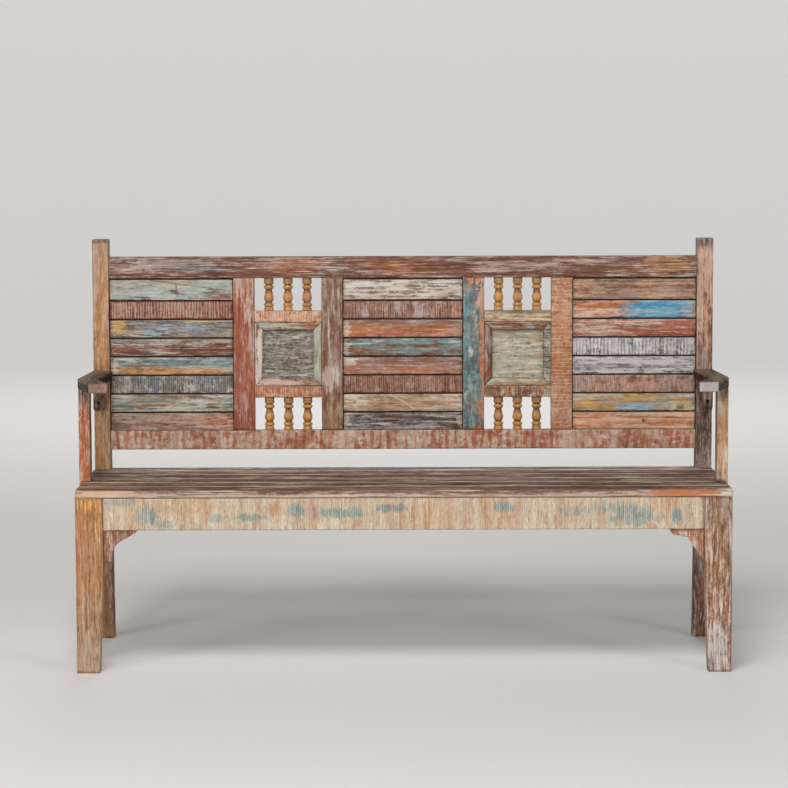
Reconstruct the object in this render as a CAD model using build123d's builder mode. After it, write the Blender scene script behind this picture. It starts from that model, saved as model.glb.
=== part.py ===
from build123d import *
import os

# A wooden bench with arms, in millimetres. It stands on Z 0 and its front faces -Y, with +X
# to the right of someone who looks at the front. The origin is the middle of its footprint.

# Overall sizes
bench_width = 1600  # over the outer faces of the legs
seat_height = 450
seat_depth = 430  # front edge of the seat to the rear posts
back_rise = 595  # seat to the tops of the rear posts
arm_rise = 257  # seat to the tops of the arms

# Front legs, which taper on the inside below the brackets
leg_width = 68
leg_depth = 45
foot_width = 55

# Rear posts, whose feet stand behind the seat
post_width = 42
post_depth = 42
foot_kick = 30
post_top_round = 5

# Seat boards
board_count = 6
board_thickness = 18
board_gap = 4
rear_board_reach = 31  # how far the last board passes back between the posts
seat_nose = 5

# Aprons and bearers under the seat
apron_height = 80
apron_thickness = 28
apron_setback = 2
bearer_count = 2
bearer_height = 45
bearer_thickness = 30
bearer_stub = 8

# Corner brackets, measured out from the leg and down from the apron
bracket_thickness = 22
bracket_setback = 2
bracket_tip = 6
left_bracket_reach = 82
left_bracket_drop = 83
left_knee_out = 46
left_knee_down = 25
left_toe_width = 20
left_toe_height = 14
left_toe_foot = 5
right_bracket_reach = 84
right_bracket_drop = 80
right_tip_length = 11
right_tip_depth = 14
right_step_out = 41
right_step_down = 20
right_step = 3

# Frame of the back
rail_thickness = 28
rail_setback = 3  # behind the fronts of the posts
top_rail_drop = 45  # below the tops of the posts
top_rail_height = 56
lower_rail_gap = 50  # above the seat
lower_rail_height = 50
stile_width = 55
column_width = 172.5
middle_panel_width = 311

# Slats
slat_count = 8
slat_face = 7  # thickness of the face
slat_tongue = 7  # thickness of the tongue behind it
slat_recess = 4
slat_gap = 3.5
slat_lap = 8
slat_end_gap = 1.5
slat_corner = 4
top_slat_extra = 8

# Framed panels in the columns
cross_rail_height = 29.5
panel_thickness = 10
panel_recess = 13
moulding_width = 20.5
moulding_inset = 1
moulding_flat = 4
moulding_fall = 4
mitre_gap = 0.2

# Turned balusters, from the foot up
baluster_count = 3
baluster_length = 84.5
pin_radius = 5
pin_length = 8
base_radius = 12.6
base_height = 10
ring_radius = 12.9
ring_foot_radius = 11.4
ring_height = 11
waist_radius = 8.8
bulb_radius = 12.6
bulb_rise = 12
shoulder_radius = 10.8
shoulder_rise = 21
neck_radius = 7.9
collar_radius = 12.6
collar_height = 11.8
cap_radius = 12.75
cap_height = 13.5
cap_cove = 4.2

# Arms, their supports and their cleats
arm_width = 49
arm_thickness = 25
arm_bow = 13  # how far the bend stands outside the legs
arm_front_inset = 31
arm_front_setback = 55
arm_bend_setback = 188
arm_bend_round = 60
arm_end_round = 6
arm_tenon = 14
support_thickness = 28
support_lap = 9
support_depth = 45
support_setback = 168
cleat_width = 27
cleat_height = 77
cleat_depth = 25
cleat_inset = 1
cleat_slope = 8

# Joints and fastenings
arris = 1.5  # size of the eased corners of a board
joint_clearance = 0.2
seat_clearance = 0.5  # between the last board and the posts
panel_groove = 6
groove_wall = 2  # wood left between a groove and the tenon beside it
tenon_thickness = 10
stile_tenon = 25
cross_tenon = 14
peg_radius = 4
peg_bite = 4
brad_side = 3
brad_length = 36
screw_head_radius = 4
screw_head_height = 3
screw_radius = 2
cleat_bore_radius = 4.5
cleat_bore_depth = 8
cleat_screw_length = 42
cleat_screw_rise = 20
cleat_screw_spacing = 35
support_screw_length = 28
support_screw_spacing = 36

# Directions in which a tenon or a fastening can point
RIGHT = (1, 0, 0)
LEFT = (-1, 0, 0)
BACK = (0, 1, 0)
FRONT = (0, -1, 0)
UP = (0, 0, 1)
DOWN = (0, 0, -1)

# Places across the bench
half_width = bench_width / 2
leg_inner = half_width - leg_width
post_inner = half_width - post_width
post_x = half_width - post_width / 2
side_x = half_width - apron_thickness / 2
bearer_pitch = bench_width / (bearer_count + 1)
bearer_xs = [bearer_pitch * (i + 1) - half_width for i in range(bearer_count)]

# Places from front to back
overall_depth = seat_depth + post_depth + foot_kick
y_front = -overall_depth / 2
y_leg_back = y_front + leg_depth
y_post = y_front + seat_depth
y_post_back = y_post + post_depth
post_y = y_post + post_depth / 2
apron_y = y_front + apron_setback + apron_thickness / 2
apron_back = apron_y + apron_thickness / 2
rear_apron_front = post_y - apron_thickness / 2
board_pitch = (seat_depth + rear_board_reach + board_gap) / board_count
board_width = board_pitch - board_gap
frame_front = y_post + rail_setback
frame_y = frame_front + rail_thickness / 2
slat_back = frame_front + slat_recess + slat_face + slat_tongue
tongue_y = slat_back - slat_tongue / 2
panel_front = frame_front + panel_recess
panel_y = panel_front + panel_thickness / 2

# Heights
bench_height = seat_height + back_rise
seat_under = seat_height - board_thickness
apron_low = seat_under - apron_height
apron_z = seat_under - apron_height / 2
bearer_z = seat_under - bearer_height / 2
arm_top = seat_height + arm_rise
arm_low = arm_top - arm_thickness
top_rail_high = bench_height - top_rail_drop
top_rail_low = top_rail_high - top_rail_height
top_rail_z = (top_rail_high + top_rail_low) / 2
lower_rail_low = seat_height + lower_rail_gap
lower_rail_high = lower_rail_low + lower_rail_height
lower_rail_z = (lower_rail_high + lower_rail_low) / 2
field_height = top_rail_low - lower_rail_high
field_z = (top_rail_low + lower_rail_high) / 2
panel_height = field_height - 2 * (baluster_length + cross_rail_height)
cross_rail_rise = (panel_height + cross_rail_height) / 2

# Parts of the back across the bench: three slat panels, two columns and four stiles
outer_panel_width = post_inner - middle_panel_width / 2 - 2 * stile_width - column_width
inner_stile_x = (middle_panel_width + stile_width) / 2
column_x = inner_stile_x + (stile_width + column_width) / 2
outer_stile_x = column_x + (stile_width + column_width) / 2
outer_panel_x = post_inner - outer_panel_width / 2
slat_panels = {
    "left": (-outer_panel_x, outer_panel_width),
    "middle": (0, middle_panel_width),
    "right": (outer_panel_x, outer_panel_width),
}
columns = {"left": -column_x, "right": column_x}
baluster_pitch = column_width / (baluster_count + 0.5)
baluster_offsets = [baluster_pitch * (i - (baluster_count - 1) / 2) for i in range(baluster_count)]

# Tenons
tenon_shoulder = panel_groove + groove_wall
apron_tenon_height = apron_height - 2 * tenon_shoulder
bearer_tenon_height = bearer_height - 2 * tenon_shoulder
cross_tenon_height = cross_rail_height - 2 * tenon_shoulder
stile_tenon_width = stile_width - 2 * tenon_shoulder
arm_tenon_width = post_width - 2 * tenon_shoulder
support_tenon_depth = support_depth - 2 * tenon_shoulder
leg_tenon = leg_width / 2
post_tenon = post_width / 2
leg_side_tenon = y_leg_back - apron_y - tenon_thickness / 2 - groove_wall
post_side_tenon = (post_depth - tenon_thickness) / 2 - groove_wall

# Supports of the arms
support_outer = half_width + support_lap
support_inner = support_outer - support_thickness
support_x = (support_outer + support_inner) / 2
support_y = y_front + support_setback + support_depth / 2

# Cleats under the arms
cleat_x = half_width - cleat_inset - cleat_width / 2
cleat_low = arm_low - cleat_height
cleat_front = y_post - cleat_depth


def shoulder(x, y, z, normal):
    """The plane of a joint's shoulder at a point, which faces the way its tenon points."""
    across = BACK if normal[0] else RIGHT
    return Plane(origin=(x, y, z), x_dir=across, z_dir=normal)


def tenon(plane, width, height, length):
    """A tenon that grows from a shoulder."""
    with BuildSketch(plane) as outline:
        Rectangle(width, height)
    extrude(outline.sketch, amount=length)


def mortise(plane, width, height, length):
    """The pocket for that tenon, larger by the joint's clearance."""
    with BuildSketch(plane) as outline:
        Rectangle(width + 2 * joint_clearance, height + 2 * joint_clearance)
    extrude(outline.sketch, amount=length + joint_clearance, mode=Mode.SUBTRACT)


def rod(plane, radius, length, mode=Mode.ADD):
    """A round bar, or with the mode SUBTRACT a round hole, that starts on a plane."""
    with BuildSketch(plane) as outline:
        Circle(radius)
    extrude(outline.sketch, amount=length, mode=mode)


def upright_edges(part):
    """The edges that run up a leg or a post, straight or sloping."""
    return part.edges().filter_by(lambda edge: abs(edge.tangent_at(0.5).Z) > 0.5)


def save(part, name):
    """Label a piece and write it to its own file."""
    part.label = name
    export_step(part, f"parts/{name}.step")


os.makedirs("parts", exist_ok=True)

# Tenon pegs, driven from behind so that the front stays plain
with BuildPart() as tenon_pegs:
    rail_peg_length = y_post_back - frame_y + tenon_thickness / 2 + peg_bite
    apron_peg_length = y_post_back - post_y + tenon_thickness / 2 + peg_bite
    leg_peg_length = y_leg_back - apron_y + tenon_thickness / 2 + peg_bite
    for side in (-1, 1):
        peg_x = side * (post_inner + post_tenon / 2)
        rod(shoulder(peg_x, y_post_back, top_rail_z, FRONT), peg_radius, rail_peg_length)
        rod(shoulder(peg_x, y_post_back, lower_rail_z, FRONT), peg_radius, rail_peg_length)
        rod(shoulder(peg_x, y_post_back, apron_z, FRONT), peg_radius, apron_peg_length)
        leg_peg_x = side * (leg_inner + leg_tenon / 2)
        rod(shoulder(leg_peg_x, y_leg_back, apron_z, FRONT), peg_radius, leg_peg_length)
save(tenon_pegs.part, "tenon_pegs")

# Headless brads in pairs, where the seat boards cross the side aprons and the bearers
brad_places = []
for i in range(board_count):
    board_y = y_front + i * board_pitch + board_width / 2
    for y in (board_y - board_width / 4, board_y + board_width / 4):
        brad_places += [(x, y) for x in bearer_xs]
        if y + brad_side < y_post:
            brad_places += [(-side_x, y), (side_x, y)]
with BuildPart() as seat_brads:
    with BuildSketch(Plane.XY.offset(seat_height)):
        with Locations(*brad_places):
            Rectangle(brad_side, brad_side)
    extrude(amount=-brad_length)
save(seat_brads.part, "seat_brads")

# Screws that hold the cleats to the posts and the laps of the supports to the side aprons
screw_seats = []
for side, inwards in ((-1, RIGHT), (1, LEFT)):
    for i in range(2):
        z = cleat_low + cleat_screw_rise + i * cleat_screw_spacing
        seat = shoulder(side * cleat_x, cleat_front + cleat_bore_depth, z, BACK)
        screw_seats.append((seat, cleat_screw_length))
        z = apron_z + (i - 0.5) * support_screw_spacing
        seat = shoulder(side * (support_outer - screw_head_height), support_y, z, inwards)
        screw_seats.append((seat, support_screw_length))
with BuildPart() as screws:
    for seat, length in screw_seats:
        rod(seat, screw_head_radius, -screw_head_height)
        rod(seat, screw_radius, length)
save(screws.part, "screws")

# Front legs
with BuildPart() as front_leg_right:
    taper_top = apron_low - max(left_bracket_drop, right_bracket_drop)
    with BuildSketch(Plane.XZ.offset(-y_front)):
        with BuildLine():
            Polyline(
                (half_width, 0),
                (half_width, seat_under),
                (leg_inner, seat_under),
                (leg_inner, taper_top),
                (half_width - foot_width, 0),
                close=True,
            )
        make_face()
    extrude(amount=-leg_depth)
    chamfer(upright_edges(front_leg_right), arris)
    mortise(shoulder(leg_inner, apron_y, apron_z, RIGHT), tenon_thickness, apron_tenon_height, leg_tenon)
    side_joint = shoulder(side_x, y_leg_back, apron_z, FRONT)
    mortise(side_joint, tenon_thickness, apron_tenon_height, leg_side_tenon)
    add(tenon_pegs.part, mode=Mode.SUBTRACT)
    add(seat_brads.part, mode=Mode.SUBTRACT)
with BuildPart() as front_leg_left:
    mirror(front_leg_right.part, about=Plane.YZ)
save(front_leg_right.part, "front_leg_right")
save(front_leg_left.part, "front_leg_left")

# Rear posts, upright above the aprons and raked back below them
with BuildPart() as rear_post_right:
    with BuildSketch(Plane.YZ.offset(post_inner)) as profile:
        with BuildLine():
            Polyline(
                (y_post, bench_height),
                (y_post, apron_low),
                (y_post + foot_kick, 0),
                (y_post_back + foot_kick, 0),
                (y_post_back, apron_low),
                (y_post_back, bench_height),
                close=True,
            )
        make_face()
        fillet(profile.vertices().sort_by(Axis.Z)[-2:], post_top_round)
    extrude(amount=post_width)
    side_edges = rear_post_right.faces().filter_by(Axis.X).edges()
    chamfer(side_edges.filter_by(lambda edge: edge.center().Z > arris), arris)
    for z, height in ((top_rail_z, top_rail_height), (lower_rail_z, lower_rail_height)):
        plane = shoulder(post_inner, frame_y, z, RIGHT)
        mortise(plane, tenon_thickness, height - 2 * tenon_shoulder, post_tenon)
    mortise(shoulder(post_inner, post_y, apron_z, RIGHT), tenon_thickness, apron_tenon_height, post_tenon)
    mortise(shoulder(side_x, y_post, apron_z, BACK), tenon_thickness, apron_tenon_height, post_side_tenon)
    arm_joint = shoulder(post_x, y_post, (arm_top + arm_low) / 2, BACK)
    mortise(arm_joint, arm_tenon_width, tenon_thickness, arm_tenon)
    slat_groove = shoulder(post_inner, tongue_y, field_z, RIGHT)
    mortise(slat_groove, slat_tongue, field_height + 2 * panel_groove, panel_groove)
    add(tenon_pegs.part, mode=Mode.SUBTRACT)
    add(screws.part, mode=Mode.SUBTRACT)
with BuildPart() as rear_post_left:
    mirror(rear_post_right.part, about=Plane.YZ)
save(rear_post_right.part, "rear_post_right")
save(rear_post_left.part, "rear_post_left")

# Front and rear aprons, each with a stub mortise for every bearer
for name, y, reach, length, inside, towards in (
    ("front_apron", apron_y, leg_inner, leg_tenon, apron_back, FRONT),
    ("rear_apron", post_y, post_inner, post_tenon, rear_apron_front, BACK),
):
    with BuildPart() as apron:
        with BuildSketch(Plane.YZ):
            with Locations((y, apron_z)):
                Rectangle(apron_thickness, apron_height)
        extrude(amount=reach, both=True)
        chamfer(apron.edges().filter_by(Axis.X), arris)
        tenon(shoulder(reach, y, apron_z, RIGHT), tenon_thickness, apron_tenon_height, length)
        tenon(shoulder(-reach, y, apron_z, LEFT), tenon_thickness, apron_tenon_height, length)
        for x in bearer_xs:
            bearer_joint = shoulder(x, inside, bearer_z, towards)
            mortise(bearer_joint, tenon_thickness, bearer_tenon_height, bearer_stub)
        add(tenon_pegs.part, mode=Mode.SUBTRACT)
        add(seat_brads.part, mode=Mode.SUBTRACT)
    save(apron.part, name)

# Side aprons
with BuildPart() as side_apron_right:
    with BuildSketch(Plane.XZ.offset(-y_leg_back)):
        with Locations((side_x, apron_z)):
            Rectangle(apron_thickness, apron_height)
    extrude(amount=y_leg_back - y_post)
    chamfer(side_apron_right.edges().filter_by(Axis.Y), arris)
    tenon(shoulder(side_x, y_leg_back, apron_z, FRONT), tenon_thickness, apron_tenon_height, leg_side_tenon)
    tenon(shoulder(side_x, y_post, apron_z, BACK), tenon_thickness, apron_tenon_height, post_side_tenon)
    add(screws.part, mode=Mode.SUBTRACT)
    add(seat_brads.part, mode=Mode.SUBTRACT)
with BuildPart() as side_apron_left:
    mirror(side_apron_right.part, about=Plane.YZ)
save(side_apron_right.part, "side_apron_right")
save(side_apron_left.part, "side_apron_left")

# Bearers that carry the seat boards between the aprons
with BuildPart() as seat_bearers:
    with BuildSketch(Plane.XZ.offset(-apron_back)):
        with Locations(*[(x, bearer_z) for x in bearer_xs]):
            Rectangle(bearer_thickness, bearer_height)
    extrude(amount=apron_back - rear_apron_front)
    for x in bearer_xs:
        for y, towards in ((apron_back, FRONT), (rear_apron_front, BACK)):
            bearer_joint = shoulder(x, y, bearer_z, towards)
            tenon(bearer_joint, tenon_thickness, bearer_tenon_height, bearer_stub)
    add(seat_brads.part, mode=Mode.SUBTRACT)
save(seat_bearers.part, "seat_bearers")

# Seat boards: the last one is notched around the posts, the first has a rounded front
for i in range(board_count):
    with BuildPart() as seat_board:
        with BuildSketch(Plane.XY.offset(seat_under)):
            with Locations((0, y_front + i * board_pitch + board_width / 2)):
                Rectangle(bench_width, board_width)
            with Locations((-post_x, post_y), (post_x, post_y)):
                notch_width = post_width + 2 * seat_clearance
                notch_depth = post_depth + 2 * seat_clearance
                Rectangle(notch_width, notch_depth, mode=Mode.SUBTRACT)
        extrude(amount=board_thickness)
        long_edges = seat_board.faces().sort_by(Axis.Z)[-1].edges().filter_by(Axis.X).sort_by(Axis.Y)
        if i == 0:
            fillet(long_edges[0], seat_nose)
        else:
            chamfer(long_edges[0], arris)
        rear_edges = seat_board.faces().sort_by(Axis.Z)[-1].edges().filter_by(Axis.X).sort_by(Axis.Y)
        chamfer(rear_edges[-1], arris)
        add(seat_brads.part, mode=Mode.SUBTRACT)
    save(seat_board.part, f"seat_board_{i + 1}")

# Corner brackets, drawn from the corner between a leg and the front apron
def from_corner(side, out, down):
    """A point in the front view, measured out from the leg and down from the apron."""
    return (side * (leg_inner - out), apron_low - down)


bracket_plane = Plane.XZ.offset(-(y_front + apron_setback + bracket_setback))

# The left bracket is hollowed between its tip and a blunt toe
with BuildPart() as bracket_left:
    hollow_end = left_bracket_drop - left_toe_height
    hollow_out = (left_knee_out + 2 * left_toe_width) / 3
    hollow_down = (2 * left_knee_down + hollow_end) / 3
    toe_down = (hollow_end + left_bracket_drop) / 2
    with BuildSketch(bracket_plane):
        with BuildLine():
            Polyline(
                from_corner(-1, left_knee_out, left_knee_down),
                from_corner(-1, left_bracket_reach - bracket_tip / 2, bracket_tip),
                from_corner(-1, left_bracket_reach, 0),
                from_corner(-1, 0, 0),
                from_corner(-1, 0, left_bracket_drop),
                from_corner(-1, left_toe_foot, left_bracket_drop),
                from_corner(-1, left_toe_width, toe_down),
                from_corner(-1, left_toe_width, hollow_end),
            )
            ThreePointArc(
                from_corner(-1, left_toe_width, hollow_end),
                from_corner(-1, hollow_out, hollow_down),
                from_corner(-1, left_knee_out, left_knee_down),
            )
        make_face()
    extrude(amount=-bracket_thickness)
save(bracket_left.part, "bracket_left")

# The right bracket has a rounded tip, a small step and a straight slope
with BuildPart() as bracket_right:
    tip_out = right_bracket_reach - right_tip_length
    with BuildSketch(bracket_plane):
        with BuildLine():
            ThreePointArc(
                from_corner(1, right_bracket_reach, 0),
                from_corner(1, right_bracket_reach - right_tip_length / 3, right_tip_depth * 2 / 3),
                from_corner(1, tip_out, right_tip_depth),
            )
            Polyline(
                from_corner(1, tip_out, right_tip_depth),
                from_corner(1, right_step_out, right_step_down),
                from_corner(1, right_step_out - right_step, right_step_down + right_step),
                from_corner(1, right_step, right_bracket_drop),
                from_corner(1, 0, right_bracket_drop),
                from_corner(1, 0, 0),
                from_corner(1, right_bracket_reach, 0),
            )
        make_face()
    extrude(amount=-bracket_thickness)
save(bracket_right.part, "bracket_right")

# Top and lower rails of the back, with grooves, mortises and pin holes on the sides that face
for name, z, height, face, into in (
    ("top_rail", top_rail_z, top_rail_height, top_rail_low, UP),
    ("lower_rail", lower_rail_z, lower_rail_height, lower_rail_high, DOWN),
):
    with BuildPart() as rail:
        with BuildSketch(Plane.YZ):
            with Locations((frame_y, z)):
                Rectangle(rail_thickness, height)
        extrude(amount=post_inner, both=True)
        chamfer(rail.edges().filter_by(Axis.X), arris)
        tenon_height = height - 2 * tenon_shoulder
        tenon(shoulder(post_inner, frame_y, z, RIGHT), tenon_thickness, tenon_height, post_tenon)
        tenon(shoulder(-post_inner, frame_y, z, LEFT), tenon_thickness, tenon_height, post_tenon)
        for x, width in slat_panels.values():
            mortise(shoulder(x, tongue_y, face, into), width + 2 * panel_groove, slat_tongue, panel_groove)
        for x in (-outer_stile_x, -inner_stile_x, inner_stile_x, outer_stile_x):
            mortise(shoulder(x, frame_y, face, into), stile_tenon_width, tenon_thickness, stile_tenon)
        for x in columns.values():
            for offset in baluster_offsets:
                hole = shoulder(x + offset, frame_y, face, into)
                rod(hole, pin_radius + joint_clearance, pin_length + joint_clearance, Mode.SUBTRACT)
        add(tenon_pegs.part, mode=Mode.SUBTRACT)
    save(rail.part, name)

# Stiles: one side takes slats, the other takes the cross rails and the panel of a column
for number, x, slat_side in (
    (1, -outer_stile_x, -1),
    (2, -inner_stile_x, 1),
    (3, inner_stile_x, -1),
    (4, outer_stile_x, 1),
):
    into_slat_side = LEFT if slat_side > 0 else RIGHT
    into_column_side = RIGHT if slat_side > 0 else LEFT
    slat_face_x = x + slat_side * stile_width / 2
    column_face_x = x - slat_side * stile_width / 2
    with BuildPart() as stile:
        with BuildSketch(Plane.XY.offset(lower_rail_high)):
            with Locations((x, frame_y)):
                Rectangle(stile_width, rail_thickness)
        extrude(amount=field_height)
        chamfer(stile.edges().filter_by(Axis.Z), arris)
        tenon(shoulder(x, frame_y, top_rail_low, UP), stile_tenon_width, tenon_thickness, stile_tenon)
        tenon(shoulder(x, frame_y, lower_rail_high, DOWN), stile_tenon_width, tenon_thickness, stile_tenon)
        mortise(
            shoulder(slat_face_x, tongue_y, field_z, into_slat_side),
            slat_tongue,
            field_height,
            panel_groove,
        )
        mortise(
            shoulder(column_face_x, panel_y, field_z, into_column_side),
            panel_thickness,
            panel_height + 2 * panel_groove,
            panel_groove,
        )
        for z in (field_z - cross_rail_rise, field_z + cross_rail_rise):
            plane = shoulder(column_face_x, frame_y, z, into_column_side)
            mortise(plane, tenon_thickness, cross_tenon_height, cross_tenon)
    save(stile.part, f"stile_{number}")

# Slats, numbered from the top: each tongue passes behind the face of the slat above
slat_pitch = (field_height - top_slat_extra) / slat_count
tongue_engaged = panel_groove - joint_clearance
for panel_name, (x, width) in slat_panels.items():
    for i in range(slat_count):
        face_low = lower_rail_high + (slat_count - 1 - i) * slat_pitch
        face_high = face_low + slat_pitch - slat_gap + (top_slat_extra if i == 0 else 0)
        tongue_low = face_low + slat_lap
        tongue_high = face_high + slat_gap + slat_lap - joint_clearance
        if i == 0:
            tongue_high = top_rail_low + tongue_engaged
        if i == slat_count - 1:
            tongue_low = lower_rail_high - tongue_engaged
        with BuildPart() as slat:
            with BuildSketch(Plane.XZ.offset(-slat_back)):
                with Locations((x, (tongue_low + tongue_high) / 2)):
                    Rectangle(width + 2 * tongue_engaged, tongue_high - tongue_low)
            extrude(amount=slat_tongue)
            with BuildSketch(Plane.XZ.offset(slat_tongue - slat_back)):
                with Locations((x, (face_low + face_high) / 2)):
                    board = Rectangle(width - 2 * slat_end_gap, face_high - face_low)
                    chamfer(board.vertices(), slat_corner)
            extrude(amount=slat_face)
            chamfer(slat.faces().sort_by(Axis.Y)[0].edges(), arris)
        save(slat.part, f"slat_{panel_name}_{i + 1}")

# Cross rails above and below the framed panel of each column
with BuildPart() as cross_rails:
    for x in columns.values():
        for rise, panel_side in ((cross_rail_rise, UP), (-cross_rail_rise, DOWN)):
            z = field_z + rise
            with BuildSketch(Plane.YZ.offset(x)) as section:
                with Locations((frame_y, z)):
                    board = Rectangle(rail_thickness, cross_rail_height)
                    chamfer(board.vertices(), arris)
            extrude(section.sketch, amount=column_width / 2, both=True)
            tenon(
                shoulder(x + column_width / 2, frame_y, z, RIGHT),
                tenon_thickness,
                cross_tenon_height,
                cross_tenon,
            )
            tenon(
                shoulder(x - column_width / 2, frame_y, z, LEFT),
                tenon_thickness,
                cross_tenon_height,
                cross_tenon,
            )
            panel_face = z - panel_side[2] * cross_rail_height / 2
            groove = shoulder(x, panel_y, panel_face, panel_side)
            mortise(groove, column_width + 2 * panel_groove, panel_thickness, panel_groove)
            baluster_face = z + panel_side[2] * cross_rail_height / 2
            into = DOWN if panel_side == UP else UP
            for offset in baluster_offsets:
                hole = shoulder(x + offset, frame_y, baluster_face, into)
                rod(hole, pin_radius + joint_clearance, pin_length + joint_clearance, Mode.SUBTRACT)
save(cross_rails.part, "cross_rails")

# Flat panels in the columns
for side, x in columns.items():
    with BuildPart() as panel:
        with BuildSketch(Plane.XZ.offset(-panel_front)):
            with Locations((x, field_z)):
                Rectangle(column_width + 2 * tongue_engaged, panel_height + 2 * tongue_engaged)
        extrude(amount=-panel_thickness)
    save(panel.part, f"panel_{side}")

# Mitred mouldings that frame the panels, bevelled down towards them
with BuildPart() as mouldings:
    for x in columns.values():
        for turned, half_length, half_span in (
            (False, column_width / 2, panel_height / 2),
            (True, panel_height / 2, column_width / 2),
        ):
            outer = half_length - mitre_gap
            inner = outer - moulding_width
            for end in (-1, 1):
                along_across = [
                    (-outer, end * half_span),
                    (outer, end * half_span),
                    (inner, end * (half_span - moulding_width)),
                    (-inner, end * (half_span - moulding_width)),
                ]
                corners = [(across, along) if turned else (along, across) for along, across in along_across]
                with BuildSketch(Plane.XZ.offset(-panel_front)) as plan:
                    with Locations((x, field_z)):
                        Polygon(*corners, align=None)
                extrude(plan.sketch, amount=panel_recess - moulding_inset)
                front = mouldings.faces(Select.LAST).sort_by(Axis.Y)[0]
                inner_edge = front.edges().sort_by_distance((x, front.center().Y, field_z))[0]
                chamfer(inner_edge, moulding_width - moulding_flat, moulding_fall, reference=front)
save(mouldings.part, "mouldings")

# Balusters, turned on their own axes
with BuildPart() as baluster:
    bead_slope = ring_height / 3
    vase_low = base_height + ring_height
    cap_low = baluster_length - cap_height
    collar_high = cap_low - cap_cove
    vase_high = collar_high - collar_height
    with BuildSketch(Plane.XZ):
        with BuildLine():
            Polyline(
                (0, -pin_length),
                (pin_radius, -pin_length),
                (pin_radius, 0),
                (base_radius, 0),
                (ring_foot_radius, base_height),
                (ring_radius, base_height + bead_slope),
                (ring_radius, vase_low - bead_slope),
                (waist_radius, vase_low),
            )
            ThreePointArc(
                (waist_radius, vase_low),
                (bulb_radius, vase_low + bulb_rise),
                (shoulder_radius, vase_low + shoulder_rise),
            )
            Polyline(
                (shoulder_radius, vase_low + shoulder_rise),
                (neck_radius, vase_high),
                (collar_radius, vase_high + bead_slope),
                (collar_radius, collar_high - bead_slope),
                (neck_radius, collar_high),
                (cap_radius, cap_low),
                (cap_radius, baluster_length),
                (pin_radius, baluster_length),
                (pin_radius, baluster_length + pin_length),
                (0, baluster_length + pin_length),
                (0, -pin_length),
            )
        make_face()
    revolve(axis=Axis.Z)
with BuildPart() as balusters:
    upper_row = field_z + cross_rail_rise + cross_rail_height / 2
    for x in columns.values():
        for offset in baluster_offsets:
            with Locations((x + offset, frame_y, lower_rail_high), (x + offset, frame_y, upper_row)):
                add(baluster.part)
save(balusters.part, "balusters")

# Arms, bent in plan, with a tenon into the post and a mortise for the support
with BuildPart() as arm_right:
    y_arm_front = y_front + arm_front_setback
    y_bend = y_front + arm_bend_setback
    with BuildSketch(Plane.XY.offset(arm_low)) as plan:
        with BuildLine():
            Polyline(
                (half_width, y_post),
                (half_width + arm_bow, y_bend),
                (half_width - arm_front_inset, y_arm_front),
                (half_width - arm_front_inset - arm_width, y_arm_front),
                (half_width + arm_bow - arm_width, y_bend),
                (half_width - arm_width, y_post),
                close=True,
            )
        make_face()
        fillet(plan.vertices().sort_by(Axis.Y)[2:4], arm_bend_round)
        fillet(plan.vertices().sort_by(Axis.Y)[:2], arm_end_round)
    extrude(amount=arm_thickness)
    rims = arm_right.faces().filter_by(Axis.Z).edges()
    chamfer(rims.filter_by(lambda edge: edge.center().Y < y_post - arris), arris)
    tenon(arm_joint, arm_tenon_width, tenon_thickness, arm_tenon)
    support_joint = shoulder(support_x, support_y, arm_low, UP)
    mortise(support_joint, tenon_thickness, support_tenon_depth, arm_thickness / 2)
with BuildPart() as arm_left:
    mirror(arm_right.part, about=Plane.YZ)
save(arm_right.part, "arm_right")
save(arm_left.part, "arm_left")

# Supports of the arms, whose shoulders stand on the seat while their laps pass outside it
with BuildPart() as arm_support_right:
    with BuildSketch(Plane.XZ.offset(-(support_y - support_depth / 2))):
        with BuildLine():
            Polyline(
                (support_inner, arm_low),
                (support_outer, arm_low),
                (support_outer, apron_low),
                (half_width, apron_low),
                (half_width, seat_height),
                (support_inner, seat_height),
                close=True,
            )
        make_face()
    extrude(amount=-support_depth)
    chamfer(arm_support_right.edges().filter_by(Axis.Z), arris)
    tenon(support_joint, tenon_thickness, support_tenon_depth, arm_thickness / 2)
    add(screws.part, mode=Mode.SUBTRACT)
with BuildPart() as arm_support_left:
    mirror(arm_support_right.part, about=Plane.YZ)
save(arm_support_right.part, "arm_support_right")
save(arm_support_left.part, "arm_support_left")

# Cleats under the rear ends of the arms, sloped below and bored for sunk screws
with BuildPart() as arm_cleats:
    with BuildSketch(Plane.YZ.offset(cleat_x - cleat_width / 2)):
        with BuildLine():
            Polyline(
                (y_post, arm_low),
                (cleat_front, arm_low),
                (cleat_front, cleat_low + cleat_slope),
                (cleat_front + cleat_slope, cleat_low),
                (y_post, cleat_low),
                close=True,
            )
        make_face()
    extrude(amount=cleat_width)
    mirror(about=Plane.YZ)
    for seat, length in screw_seats:
        if length == cleat_screw_length:
            rod(seat, cleat_bore_radius, -cleat_bore_depth, Mode.SUBTRACT)
    add(screws.part, mode=Mode.SUBTRACT)
save(arm_cleats.part, "arm_cleats")
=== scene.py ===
# %% [markdown]
# # A bench of reclaimed boards
# The bench is put together from old doors and shutters, so every board brings its own remains of
# paint with it. The construction model already holds every board at its true size and place. What is
# left for this lesson is the look: edges that many hands have worn round, and paint that has flaked
# off in layers. We start by loading the construction model.

# %% Load the construction model
import math

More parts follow.
